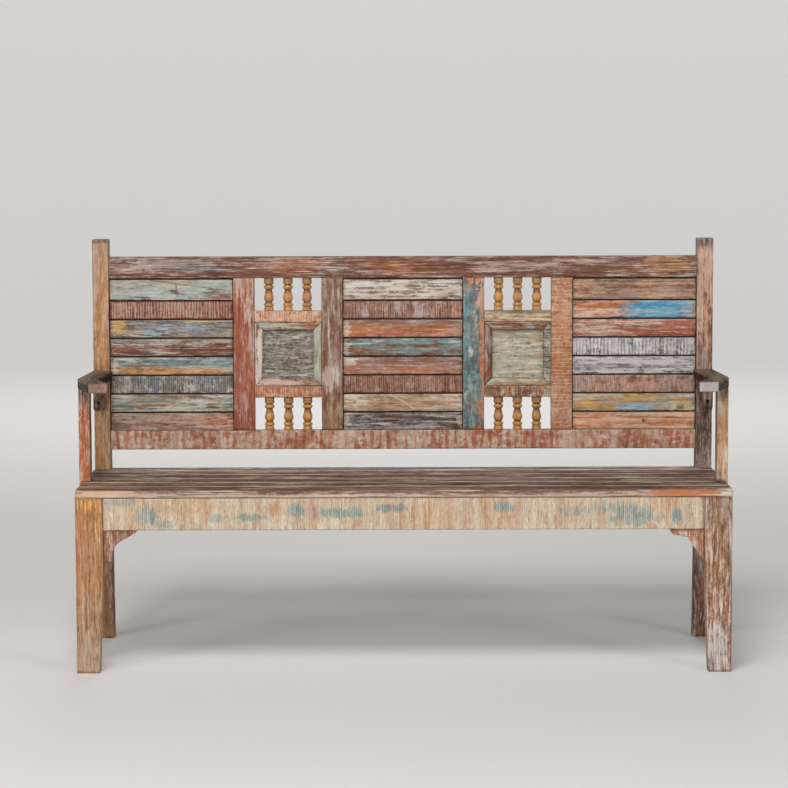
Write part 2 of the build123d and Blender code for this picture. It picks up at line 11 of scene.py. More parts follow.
import bmesh
import bpy
import numpy as np
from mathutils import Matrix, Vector


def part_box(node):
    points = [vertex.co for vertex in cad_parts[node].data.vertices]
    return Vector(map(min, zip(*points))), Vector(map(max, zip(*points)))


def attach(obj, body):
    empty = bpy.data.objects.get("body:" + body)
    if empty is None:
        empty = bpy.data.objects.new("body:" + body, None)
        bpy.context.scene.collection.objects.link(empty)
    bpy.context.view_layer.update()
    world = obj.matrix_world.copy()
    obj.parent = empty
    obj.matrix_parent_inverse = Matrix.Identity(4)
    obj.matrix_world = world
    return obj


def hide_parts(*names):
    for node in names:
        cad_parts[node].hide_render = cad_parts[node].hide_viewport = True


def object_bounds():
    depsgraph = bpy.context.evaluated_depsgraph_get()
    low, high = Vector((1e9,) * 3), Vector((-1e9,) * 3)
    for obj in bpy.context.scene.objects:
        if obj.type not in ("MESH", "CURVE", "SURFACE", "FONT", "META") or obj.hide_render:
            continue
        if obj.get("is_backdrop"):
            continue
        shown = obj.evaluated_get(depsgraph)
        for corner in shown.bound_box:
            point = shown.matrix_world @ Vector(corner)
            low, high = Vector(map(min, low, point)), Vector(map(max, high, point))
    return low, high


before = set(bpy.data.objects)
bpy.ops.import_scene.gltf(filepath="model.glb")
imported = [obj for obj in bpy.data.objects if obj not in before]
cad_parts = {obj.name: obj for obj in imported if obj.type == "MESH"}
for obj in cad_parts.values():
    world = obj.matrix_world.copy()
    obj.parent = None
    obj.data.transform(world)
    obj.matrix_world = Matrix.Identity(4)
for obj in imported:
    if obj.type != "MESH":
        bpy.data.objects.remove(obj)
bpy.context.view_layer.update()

MM = 0.001
print("boards and fastenings:", len(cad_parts))

# %% [markdown]
# ## A paint chart
# Old paint on reclaimed wood comes in few colours: earth reds, ochres, chalky whites and a family of
# blues and greens. A short chart with plain names keeps the recipes below readable. Colours are
# written as they look on a screen, so a small function turns them into the linear values that the
# shaders work with.

# %% Paint chart
CHART = {
    "chalk": "c6bdb3",
    "cream": "c0b19a",
    "oat": "b5a58d",
    "lilac": "b2abab",
    "peach": "c4977a",
    "pink": "b28e7b",
    "beige": "a8957e",
    "straw": "bd953f",
    "honey": "cb9445",
    "ochre": "b28250",
    "tan": "987150",
    "orange": "ad683c",
    "rust": "9c5536",
    "terracotta": "9a5e44",
    "brick": "8c4a39",
    "chestnut": "744d39",
    "maroon": "633d35",
    "mauve": "7a6058",
    "taupe": "6a594b",
    "umber": "49352a",
    "soot": "241a15",
    "grey": "8a837a",
    "slate": "5d6165",
    "navy": "48545f",
    "teal": "5e7f82",
    "sea": "6c8684",
    "duck_egg": "9aa7a1",
    "sky": "78a3bc",
    "turquoise": "3489ae",
    "sage": "999f8d",
    "leaf": "56614a",
}


def paint(name):
    """The linear colour of a paint on the chart."""
    code = CHART[name]
    channels = [int(code[i:i + 2], 16) / 255 for i in (0, 2, 4)]
    linear = [c / 12.92 if c <= 0.04045 else ((c + 0.055) / 1.055) ** 2.4 for c in channels]
    return (*linear, 1.0)


print("paints on the chart:", len(CHART))

# %% [markdown]
# ## Short words for nodes
# Node trees written in Python grow long because every node, value and link is a line of its own.
# These helpers add one node, set its properties and fill its inputs, where a value is a constant and
# a socket is a link. They serve shader trees and geometry trees alike.

# %% Node helpers
def node(tree, kind, values=None, **settings):
    """Add a node, set its properties, and fill or link its inputs."""
    made = tree.nodes.new(kind)
    for name, value in settings.items():
        setattr(made, name, value)
    for key, value in (values or {}).items():
        if isinstance(value, bpy.types.NodeSocket):
            tree.links.new(value, made.inputs[key])
        else:
            made.inputs[key].default_value = value
    return made


def calc(tree, operation, *values):
    """Arithmetic on numbers."""
    return node(tree, "ShaderNodeMath", dict(enumerate(values)), operation=operation).outputs[0]


def vector_calc(tree, operation, *values):
    """Arithmetic on vectors. A dot product or a length comes out as a number."""
    made = node(tree, "ShaderNodeVectorMath", dict(enumerate(values)), operation=operation)
    return made.outputs["Value" if operation in ("DOT_PRODUCT", "LENGTH") else "Vector"]


def scaled(tree, vector, factor):
    """A vector or a colour times a number."""
    settings = {0: vector, "Scale": factor}
    return node(tree, "ShaderNodeVectorMath", settings, operation="SCALE").outputs["Vector"]


def ease(tree, value, low, high):
    """A soft step from 0 to 1 while the value goes from low to high."""
    settings = {"Value": value, "From Min": low, "From Max": high}
    return node(tree, "ShaderNodeMapRange", settings, interpolation_type="SMOOTHSTEP").outputs["Result"]


def noise(tree, place, scale, detail, roughness=0.6):
    """Noise between 0 and 1 with its own scale along each axis, in features per metre."""
    drawn_out = vector_calc(tree, "MULTIPLY", place, scale)
    settings = {"Vector": drawn_out, "Scale": 1.0, "Detail": detail, "Roughness": roughness}
    return node(tree, "ShaderNodeTexNoise", settings).outputs["Fac"]


def weigh(tree, *terms):
    """A weighted sum of (weight, value) pairs."""
    total = None
    for weight, value in terms:
        part = calc(tree, "MULTIPLY", value, weight)
        total = part if total is None else calc(tree, "ADD", total, part)
    return total


def lay_over(tree, mask, under, over, blend="MIX"):
    """One colour over another where the mask is 1."""
    made = node(tree, "ShaderNodeMix", {0: mask, 6: under, 7: over}, data_type="RGBA", blend_type=blend)
    return made.outputs[2]


print("node helpers are ready")

# %% [markdown]
# ## Groups and materials
# An effect that many boards share is built once as a node group with named sockets. Each material then
# places the group with its own values. The shader itself stands in the material, and groups only bring
# it colours, masks and heights, because an exporter can bake those but can't look for a shader inside
# a group.

# %% Group and material helpers
NUMBER, PLACE, COLOUR = "NodeSocketFloat", "NodeSocketVector", "NodeSocketColor"


def shader_group(name, inputs, outputs):
    """An empty shader node group with named sockets, and its input and output sockets."""
    tree = bpy.data.node_groups.new(name, "ShaderNodeTree")
    for label, kind in inputs.items():
        tree.interface.new_socket(label, in_out="INPUT", socket_type=kind)
    for label, kind in outputs.items():
        tree.interface.new_socket(label, in_out="OUTPUT", socket_type=kind)
    given = tree.nodes.new("NodeGroupInput").outputs
    result = tree.nodes.new("NodeGroupOutput").inputs
    return tree, given, result


def put_out(tree, result, **values):
    """Link values to the outputs of a group."""
    for label, value in values.items():
        tree.links.new(value, result[label])


def place_group(tree, group, field=None, **values):
    """Put a group into a tree. Inputs named after one of the fields take it, unless a value is given."""
    made = node(tree, "ShaderNodeGroup", node_tree=group)
    shared = {label: socket for label, socket in (field.items() if field else ()) if label in made.inputs}
    for key, value in {**shared, **values}.items():
        if isinstance(value, bpy.types.NodeSocket):
            tree.links.new(value, made.inputs[key])
        else:
            made.inputs[key].default_value = value
    return made.outputs


def blank_material(name):
    """A material without nodes, and its node tree."""
    material = bpy.data.materials.new(name)
    material.use_nodes = True
    material.node_tree.nodes.clear()
    return material, material.node_tree


def shade(tree, colour, roughness, height, relief, strength, constants=None):
    """Bump, shader and output of a material. Relief is the height of its bumps in millimetres."""
    bump = node(tree, "ShaderNodeBump", {"Height": height, "Distance": relief * MM, "Strength": strength})
    values = {"Base Color": colour, "Roughness": roughness, "Normal": bump.outputs[0], **(constants or {})}
    shader = node(tree, "ShaderNodeBsdfPrincipled", values)
    node(tree, "ShaderNodeOutputMaterial", {"Surface": shader.outputs[0]})


print("socket kinds:", NUMBER, PLACE, COLOUR)

# %% [markdown]
# ## Noise that follows the grain
# Every board carries an attribute called board: how far a point lies along the grain, across it and
# through the thickness, in metres from the board's own middle. Noise that is stretched along the
# first axis turns into grain, whichever way the board is built in. All the fields that the finishes
# share come out of one group, so that flakes, streaks and cracks agree with each other.

# %% Board noise group
NEXT_BOARD = (0.37, 0.053, 0.021)  # metres through the noise from one board to the next
SWAY = 12 * MM  # how far the grain swings from side to side


def make_board_noise():
    tree, given, result = shader_group(
        "Board noise",
        {"Board": PLACE, "Seed": NUMBER},
        {"Grain": NUMBER, "Fibre": NUMBER, "Streak": NUMBER, "Patch": NUMBER, "Other patch": NUMBER,
         "Flake": NUMBER, "Mottle": NUMBER, "Crack": NUMBER, "Scuff": NUMBER},
    )
    start = scaled(tree, NEXT_BOARD, given["Seed"])
    still = vector_calc(tree, "ADD", given["Board"], start)
    sway = calc(tree, "SUBTRACT", noise(tree, still, (7, 25, 25), 2), 0.5)
    bent = node(tree, "ShaderNodeCombineXYZ", {"Y": calc(tree, "MULTIPLY", sway, SWAY)}).outputs[0]
    grain_place = vector_calc(tree, "ADD", still, bent)
    other_place = vector_calc(tree, "ADD", still, (3.1, 1.7, 0.4))
    fields = {
        "Grain": noise(tree, grain_place, (9, 130, 130), 5, 0.65),
        "Fibre": noise(tree, grain_place, (45, 700, 700), 3),
        "Streak": noise(tree, grain_place, (22, 200, 200), 4, 0.65),
        "Patch": noise(tree, still, (10, 26, 26), 4),
        "Other patch": noise(tree, other_place, (13, 34, 34), 4),
        "Flake": noise(tree, still, (150, 300, 300), 4, 0.7),
        "Mottle": noise(tree, other_place, (60, 95, 95), 5, 0.75),
    }
    for label, lines, patch, width in (
        ("Crack", noise(tree, grain_place, (5, 75, 75), 3), "Other patch", 0.012),
        ("Scuff", noise(tree, other_place, (42, 60, 60), 4, 0.7), "Patch", 0.03),
    ):
        contour = calc(tree, "ABSOLUTE", calc(tree, "SUBTRACT", lines, 0.5))
        line = calc(tree, "SUBTRACT", 1.0, ease(tree, contour, 0.0, width))
        fields[label] = calc(tree, "MULTIPLY", line, ease(tree, fields[patch], 0.50, 0.58))
    put_out(tree, result, **fields)
    return tree


BOARD_NOISE = make_board_noise()
print("fields for every board:", [socket.name for socket in BOARD_NOISE.interface.items_tree
                                  if socket.in_out == "OUTPUT"])

# %% [markdown]
# ## Coats, spots and lines of paint
# A coat of old paint stays where the noise is high and flakes off where it is low. Its cover moves
# the limit, and its lean lets a coat survive on one end or one edge of a board only. A spot is a
# smaller remnant at a known place, and a line is a split in the wood or a scratch. Each is a small
# group, and a material lays down as many of them as its board shows.

# %% Coat, spot and line groups
FLAKE_RANGE = 0.30  # how far a cover from 0 to 1 moves the limit through the noise
LEAN_RANGE = 0.16
BODY = 0.86  # sanded paint lets a little of the wood through
FLAKE_EDGE = 0.018  # half the width of a flake's edge, in noise
LINE_BODY = 0.8
LINE_WANDER = 10 * MM


def make_coat():
    tree, given, result = shader_group(
        "Paint coat",
        {"Under": COLOUR, "Coat": COLOUR, "Cover": NUMBER, "Lean": PLACE, "Spot": PLACE, "Patch": NUMBER,
         "Flake": NUMBER, "Grain": NUMBER, "Streak": NUMBER, "Mottle": NUMBER},
        {"Colour": COLOUR, "Mask": NUMBER},
    )
    slope = vector_calc(tree, "DOT_PRODUCT", given["Lean"], given["Spot"])
    hold = weigh(tree, (0.26, given["Patch"]), (0.13, given["Flake"]), (0.20, given["Grain"]),
                 (0.19, given["Streak"]), (0.22, given["Mottle"]), (LEAN_RANGE, slope))
    spare = calc(tree, "SUBTRACT", 0.5, given["Cover"])
    limit = calc(tree, "MULTIPLY_ADD", spare, FLAKE_RANGE, 0.5)
    above = calc(tree, "SUBTRACT", hold, limit)
    mask = calc(tree, "MULTIPLY", ease(tree, above, -FLAKE_EDGE, FLAKE_EDGE), BODY)
    tone = calc(tree, "MULTIPLY_ADD", given["Patch"], 0.6, 0.68)
    shaded = scaled(tree, given["Coat"], tone)
    put_out(tree, result, Colour=lay_over(tree, mask, given["Under"], shaded), Mask=mask)
    return tree


def make_spot():
    tree, given, result = shader_group(
        "Paint spot",
        {"Under": COLOUR, "Paint": COLOUR, "Spot": PLACE, "Middle": PLACE, "Reach": PLACE,
         "Strength": NUMBER, "Flake": NUMBER, "Streak": NUMBER, "Mottle": NUMBER},
        {"Colour": COLOUR},
    )
    away = vector_calc(tree, "SUBTRACT", given["Spot"], given["Middle"])
    distance = vector_calc(tree, "LENGTH", vector_calc(tree, "DIVIDE", away, given["Reach"]))
    inside = calc(tree, "SUBTRACT", 1.0, distance)
    torn = weigh(tree, (1.6, given["Flake"]), (3.2, given["Streak"]), (1.8, given["Mottle"]))
    ragged = calc(tree, "ADD", inside, calc(tree, "SUBTRACT", torn, 3.3))
    mask = calc(tree, "MULTIPLY", ease(tree, ragged, 0.0, 0.22), given["Strength"])
    put_out(tree, result, Colour=lay_over(tree, mask, given["Under"], given["Paint"]))
    return tree


def make_line():
    tree, given, result = shader_group(
        "Split or scratch",
        {"Under": COLOUR, "Line": COLOUR, "Board": PLACE, "From": PLACE, "To": PLACE, "Width": NUMBER,
         "Flake": NUMBER, "Mottle": NUMBER},
        {"Colour": COLOUR},
    )
    run = vector_calc(tree, "SUBTRACT", given["To"], given["From"])
    flat = vector_calc(tree, "MULTIPLY", given["Board"], (1, 1, 0))
    away = vector_calc(tree, "SUBTRACT", flat, given["From"])
    share = calc(tree, "DIVIDE", vector_calc(tree, "DOT_PRODUCT", away, run),
                 vector_calc(tree, "DOT_PRODUCT", run, run))
    share = node(tree, "ShaderNodeClamp", {"Value": share}).outputs[0]
    nearest = scaled(tree, run, share)
    distance = vector_calc(tree, "LENGTH", vector_calc(tree, "SUBTRACT", away, nearest))
    torn = weigh(tree, (0.5, given["Flake"]), (0.5, given["Mottle"]))
    wander = calc(tree, "MULTIPLY", calc(tree, "SUBTRACT", torn, 0.5), LINE_WANDER)
    near = calc(tree, "SUBTRACT", 1.0, ease(tree, calc(tree, "ADD", distance, wander), 0.0, given["Width"]))
    mask = calc(tree, "MULTIPLY", near, LINE_BODY)
    put_out(tree, result, Colour=lay_over(tree, mask, given["Under"], given["Line"]))
    return tree


COAT, SPOT, LINE = make_coat(), make_spot(), make_line()
print("paint groups:", COAT.name, SPOT.name, LINE.name)

# %% [markdown]
# ## Saw marks, lime and grime
# Many boards were cut on a frame saw, which leaves bars across the grain at an almost even pitch: a
# sine whose phase wanders a little, broken up by noise. Lime wash stays in the pores after sanding,
# and draws fine pale streaks along the grain. Grime is the opposite, dark streaks where the lime is
# missing, so the same group lays it with the streaks turned round.

# %% Saw and lime groups
MARK_BODY = 0.75  # of saw marks and lime alike


def make_saw():
    tree, given, result = shader_group(
        "Saw marks",
        {"Under": COLOUR, "Mark": COLOUR, "Board": PLACE, "Pitch": NUMBER, "Amount": NUMBER,
         "Flake": NUMBER, "Mottle": NUMBER, "Patch": NUMBER, "Seed": NUMBER},
        {"Colour": COLOUR, "Mask": NUMBER},
    )
    along = node(tree, "ShaderNodeSeparateXYZ", {0: given["Board"]}).outputs
    turns = calc(tree, "ADD", calc(tree, "DIVIDE", along["X"], given["Pitch"]), given["Seed"])
    across = calc(tree, "MULTIPLY", along["Y"], 6.0)
    bars_place = node(tree, "ShaderNodeCombineXYZ", {"X": turns, "Y": across}).outputs[0]
    wander = calc(tree, "MULTIPLY_ADD", noise(tree, bars_place, (0.45, 1, 1), 2), 1.8, turns)
    wave = calc(tree, "SINE", calc(tree, "MULTIPLY", wander, math.tau))
    strokes = noise(tree, bars_place, (1.1, 2.0, 1), 3, 0.7)
    hold = weigh(tree, (0.26, wave), (0.70, strokes), (0.40, given["Flake"]), (0.30, given["Mottle"]),
                 (0.40, given["Patch"]))
    limit = calc(tree, "MULTIPLY_ADD", given["Amount"], -0.70, 1.25)
    stays = ease(tree, calc(tree, "SUBTRACT", hold, limit), -0.06, 0.10)
    mask = calc(tree, "MULTIPLY", stays, MARK_BODY)
    put_out(tree, result, Colour=lay_over(tree, mask, given["Under"], given["Mark"]), Mask=mask)
    return tree


def make_lime():
    tree, given, result = shader_group(
        "Lime in the grain",
        {"Under": COLOUR, "Lime": COLOUR, "Amount": NUMBER, "Streak": NUMBER, "Flake": NUMBER,
         "Patch": NUMBER},
        {"Colour": COLOUR, "Mask": NUMBER},
    )
    hold = weigh(tree, (0.55, given["Streak"]), (0.20, given["Flake"]), (0.25, given["Patch"]))
    limit = calc(tree, "MULTIPLY_ADD", given["Amount"], -0.26, 0.63)
    stays = ease(tree, calc(tree, "SUBTRACT", hold, limit), -0.015, 0.045)
    mask = calc(tree, "MULTIPLY", stays, MARK_BODY)
    put_out(tree, result, Colour=lay_over(tree, mask, given["Under"], given["Lime"]), Mask=mask)
    return tree


SAW, LIME = make_saw(), make_lime()
print("wear groups:", SAW.name, LIME.name)

# %% [markdown]
# ## Patina and worn edges
# Years of handling leave a thin pale film in the hollows of the paint, scuffs that wander across the
# grain and blotches of old grease. A darker rim runs along the sides and ends of every board, partly
# dirt and partly painted shade. The arrises lose paint and dirt again. Both groups find the edges from
# the board's half sizes: a point lies near an arris where it lies near the limit of the board in two
# directions at once.

# %% Patina and edge groups
def inset_from_edges(tree, given):
    """How far a point lies inside the board's limits, along, across and through."""
    inset = vector_calc(tree, "SUBTRACT", given["Half"], vector_calc(tree, "ABSOLUTE", given["Board"]))
    return node(tree, "ShaderNodeSeparateXYZ", {0: inset}).outputs


def make_patina():
    tree, given, result = shader_group(
        "Patina",
        {"Under": COLOUR, "Film": COLOUR, "Amount": NUMBER, "Rim": NUMBER, "Depth": NUMBER, "Board": PLACE,
         "Half": PLACE, "Patch": NUMBER, "Mottle": NUMBER, "Streak": NUMBER, "Flake": NUMBER,
         "Scuff": NUMBER},
        {"Colour": COLOUR},
    )
    hollow = weigh(tree, (0.38, given["Patch"]), (0.37, given["Mottle"]), (0.25, given["Streak"]))
    film = calc(tree, "MULTIPLY", ease(tree, hollow, 0.48, 0.57), given["Amount"])
    scuff = calc(tree, "MULTIPLY", given["Scuff"], calc(tree, "ADD", given["Amount"], 0.15))
    film = calc(tree, "MAXIMUM", film, scuff)
    colour = lay_over(tree, film, given["Under"], given["Film"])
    # The darker rim along the sides and ends is partly dirt and partly painted shade; the Depth input sets
    # how dark it goes.
    inset = inset_from_edges(tree, given)
    torn = calc(tree, "SUBTRACT", weigh(tree, (0.5, given["Mottle"]), (0.5, given["Flake"])), 0.5)
    near = []
    for axis, stretch in (("X", 3.0), ("Y", 1.0)):
        reach = calc(tree, "MULTIPLY", given["Rim"], stretch)
        loose = calc(tree, "MULTIPLY_ADD", torn, calc(tree, "MULTIPLY", reach, 2.5), inset[axis])
        near.append(calc(tree, "SUBTRACT", 1.0, ease(tree, loose, 0.0, reach)))
    rim = calc(tree, "MULTIPLY", calc(tree, "MAXIMUM", *near), given["Depth"])
    grease = calc(tree, "SUBTRACT", 1.0, ease(tree, hollow, 0.38, 0.48))
    tone = weigh(tree, (0.7, given["Mottle"]), (-1.0, rim), (-0.26, grease))
    put_out(tree, result, Colour=scaled(tree, colour, calc(tree, "ADD", tone, 0.70)))
    return tree


def make_edge():
    tree, given, result = shader_group(
        "Worn edge",
        {"Under": COLOUR, "Bare": COLOUR, "Board": PLACE, "Half": PLACE, "Reach": NUMBER, "Amount": NUMBER,
         "Flake": NUMBER, "Mottle": NUMBER},
        {"Colour": COLOUR},
    )
    inset = inset_from_edges(tree, given)
    torn = weigh(tree, (0.5, given["Flake"]), (0.5, given["Mottle"]))
    ragged = calc(tree, "MULTIPLY", calc(tree, "SUBTRACT", torn, 0.45), given["Reach"])
    near = []
    for axis, stretch in (("X", 2.2), ("Y", 1.0), ("Z", 1.0)):
        reach = calc(tree, "MULTIPLY", given["Reach"], stretch)
        loose = calc(tree, "MULTIPLY_ADD", ragged, -7.0, inset[axis])
        near.append(calc(tree, "SUBTRACT", 1.0, ease(tree, loose, 0.0, reach)))
    sides = calc(tree, "MULTIPLY", near[1], near[2])
    ends = calc(tree, "MULTIPLY", near[0], calc(tree, "MAXIMUM", near[1], near[2]))
    mask = calc(tree, "MULTIPLY", calc(tree, "MAXIMUM", sides, ends), given["Amount"])
    put_out(tree, result, Colour=lay_over(tree, mask, given["Under"], given["Bare"]))
    return tree


PATINA, EDGE = make_patina(), make_edge()
print("patina groups:", PATINA.name, EDGE.name)

# %% [markdown]
# ## Cracks, dirt, painted shade in the gaps and relief
# Dirt lies in the cracks and gives the wood its depth, and the fibres break up every flat tone.
# Behind the face of a slat, where its tongue lies in the gap to the next slat, a painted shade darkens
# the wood. The same fields make the relief: paint stands a little above the wood, cracks and pores lie
# below it, and bare wood is duller than paint.

# %% Dirt, painted gap shade and relief groups
def make_dirt():
    tree, given, result = shader_group(
        "Dirt in the cracks",
        {"Under": COLOUR, "Dirt": COLOUR, "Amount": NUMBER, "Crack": NUMBER, "Fibre": NUMBER,
         "Grain": NUMBER},
        {"Colour": COLOUR},
    )
    tone = weigh(tree, (0.9, given["Fibre"]), (0.6, given["Grain"]))
    shaded = scaled(tree, given["Under"], calc(tree, "ADD", tone, 0.25))
    mask = calc(tree, "MULTIPLY", given["Crack"], given["Amount"])
    put_out(tree, result, Colour=lay_over(tree, mask, shaded, given["Dirt"]))
    return tree


# Painted shade: the part of a board that lies behind its face goes umber, for the shade in the gap between
# slats.
def make_gap_shade():
    tree, given, result = shader_group(
        "Painted shade behind the face",
        {"Under": COLOUR, "Dirt": COLOUR, "Board": PLACE, "Face": NUMBER, "Back": NUMBER},
        {"Colour": COLOUR},
    )
    depth = node(tree, "ShaderNodeSeparateXYZ", {0: given["Board"]}).outputs["Z"]
    behind = ease(tree, calc(tree, "SUBTRACT", depth, given["Face"]), -2.0 * MM, 0.5 * MM)
    to_back = calc(tree, "SUBTRACT", depth, given["Back"])
    hidden = calc(tree, "SUBTRACT", 1.0, ease(tree, to_back, -1.5 * MM, -0.8 * MM))
    mask = calc(tree, "MULTIPLY", behind, hidden)
    put_out(tree, result, Colour=lay_over(tree, mask, given["Under"], given["Dirt"]))
    return tree


def make_relief():
    tree, given, result = shader_group(
        "Board relief",
        {"Coat": NUMBER, "Marks": NUMBER, "Crack": NUMBER, "Fibre": NUMBER, "Grain": NUMBER, "Flake": NUMBER},
        {"Height": NUMBER, "Roughness": NUMBER},
    )
    height = weigh(tree, (0.9, given["Grain"]), (0.35, given["Fibre"]), (0.30, given["Coat"]),
                   (0.20, given["Marks"]), (-1.0, given["Crack"]), (0.35, given["Flake"]))
    dull = weigh(tree, (0.45, given["Fibre"]), (-0.12, given["Coat"]), (0.15, given["Flake"]))
    put_out(tree, result, Height=height, Roughness=calc(tree, "ADD", dull, 0.42))
    return tree


DIRT, GAP_SHADE, RELIEF = make_dirt(), make_gap_shade(), make_relief()
print("finish groups:", DIRT.name, GAP_SHADE.name, RELIEF.name)

# %% [markdown]
# ## One material for each board
# A material reads the board attribute, lays the coats, spots, saw marks, lime and grime over the bare
# wood in the order in which the years did, then adds patina, whose darker rim along the edges is partly
# dirt and partly painted shade, wears the edges, and ends with lines and dirt. On a slat the tongue
# behind the face also gets a painted shade, for the gap between slats. The recipe of a board is a short
# list of paints. Places on a board are shares of its half sizes, from -1 to 1, so a recipe reads like a
# look at the board: along to the right or up, across to the top or the right.

# %% Timber material
STREAKS = (0.6, 1.15, 1.0)  # noise is drawn out along the grain of most boards
BARS = (2.6, 0.4, 1.0)  # where a saw ran across, the paint stays in bars instead
ALL_THROUGH = (0, 9)  # middle and reach of a spot that goes through the whole thickness


def timber(name, half, seed, wood, coats=(), spots=(), lines=(), saw=None, lime=None, grime=None,
           bare=None, film=("chalk", 0.3), rim=(3.5, 0.34), cracks=0.5, reach=2.4, shine=0.3, stretch=None,
           shaded_gap=None):
    """The painted wood of one board. Half holds its half sizes along, across and through."""
    material, tree = blank_material(name)
    board = node(tree, "ShaderNodeAttribute", attribute_name="board").outputs["Vector"]
    spot = vector_calc(tree, "DIVIDE", board, half)
    drawn_out = vector_calc(tree, "MULTIPLY", board, stretch or (BARS if saw else STREAKS))
    field = place_group(tree, BOARD_NOISE, Board=drawn_out, Seed=float(seed))
    light, dark = wood
    rings = weigh(tree, (0.6, field["Grain"]), (0.4, field["Mottle"]))
    colour = lay_over(tree, ease(tree, rings, 0.41, 0.59), paint(dark), paint(light))

    def lay(group, **values):
        """Place a group on top of the colour so far."""
        return place_group(tree, group, field, Under=colour, **values)

    masks = {}
    for number, (tone, cover, *lean) in enumerate(coats):
        patch = field["Other patch" if number % 2 else "Patch"]
        laid = lay(COAT, Coat=paint(tone), Cover=cover, Lean=lean[0] if lean else (0, 0, 0), Spot=spot,
                   Patch=patch)
        colour, mask = laid["Colour"], laid["Mask"]
        masks["Coat"] = calc(tree, "MAXIMUM", masks["Coat"], mask) if number else mask
    for tone, along, across, reach_along, reach_across, strength, *deep in spots:
        depth, reach_deep = deep or ALL_THROUGH
        colour = lay(SPOT, Paint=paint(tone), Spot=spot, Middle=(along, across, depth),
                     Reach=(reach_along, reach_across, reach_deep), Strength=strength)["Colour"]
    if saw:
        tone, amount, pitch = saw
        laid = lay(SAW, Mark=paint(tone), Board=board, Pitch=pitch * MM, Amount=amount,
                   Patch=field["Other patch"], Seed=float(seed))
        colour, masks["Marks"] = laid["Colour"], laid["Mask"]
    if lime:
        tone, amount = lime
        laid = lay(LIME, Lime=paint(tone), Amount=amount, Patch=field["Other patch"])
        colour = laid["Colour"]
        masks.setdefault("Marks", laid["Mask"])
    if grime:
        tone, amount = grime
        hollow = calc(tree, "SUBTRACT", 1.0, field["Streak"])
        colour = lay(LIME, Lime=paint(tone), Amount=amount, Streak=hollow)["Colour"]
    tone, amount = film
    # The rim darkens the board's edges, partly as dirt and partly as painted shade.
    rim_width, rim_dirt_and_shade = rim
    colour = lay(PATINA, Film=paint(tone), Amount=amount, Rim=rim_width * MM, Depth=rim_dirt_and_shade, Board=board,
                 Half=half)["Colour"]
    if bare:
        tone, amount = bare
        colour = lay(EDGE, Bare=paint(tone), Board=board, Half=half, Reach=reach * MM,
                     Amount=amount)["Colour"]
    for tone, along, across, to_along, to_across, width in lines:
        begin, end = (along * half[0], across * half[1], 0), (to_along * half[0], to_across * half[1], 0)
        colour = lay(LINE, Line=paint(tone), Board=board, From=begin, To=end, Width=width * MM)["Colour"]
    colour = lay(DIRT, Dirt=paint("soot"), Amount=cracks)["Colour"]
    # Painted shade: the tongue behind a slat's face goes umber, for the shade in the gap between slats.
    if shaded_gap:
        face, back = shaded_gap
        colour = lay(GAP_SHADE, Dirt=paint("umber"), Board=board, Face=face, Back=back)["Colour"]
    relief = place_group(tree, RELIEF, field, **masks)
    shade(tree, colour, relief["Roughness"], relief["Height"], 1.2, 0.6, {"Specular IOR Level": shine})
    return material


print("a recipe can name: wood, coats, spots, lines, saw, lime, grime, bare, film")

# %% [markdown]
# ## Wearing the boards down
# A board that came straight out of the construction model is too crisp for old wood. A Geometry
# Nodes tree presses its surface in by fractions of a millimetre, in slow waves and finer hollows, and
# knocks small nicks out of the edges. It only ever moves points inwards, so the bench keeps its size.
# The offset is a node group of its own because two trees need it.

# %% Wear as a geometry group
HOLLOWS = ((0.7, 9), (0.5, 55))  # share of the wave, and how many in a metre
CHIPS = 38  # in a metre


def geometry_tree(name, inputs):
    """An empty geometry tree with named inputs, which starts and ends with a geometry socket."""
    tree = bpy.data.node_groups.new(name, "GeometryNodeTree")
    tree.interface.new_socket("Geometry", in_out="OUTPUT", socket_type="NodeSocketGeometry")
    for label, kind in inputs.items():
        tree.interface.new_socket(label, in_out="INPUT", socket_type=kind)
    given = tree.nodes.new("NodeGroupInput").outputs
    result = tree.nodes.new("NodeGroupOutput").inputs
    return tree, given, result


def finish_tree(tree, geometry, material, result):
    """Turn instances into plain geometry and hand the material over."""
    whole = node(tree, "GeometryNodeRealizeInstances", {0: geometry}).outputs[0]
    dressed = node(tree, "GeometryNodeSetMaterial", {"Geometry": whole, "Material": material}).outputs[0]
    put_out(tree, result, Geometry=dressed)


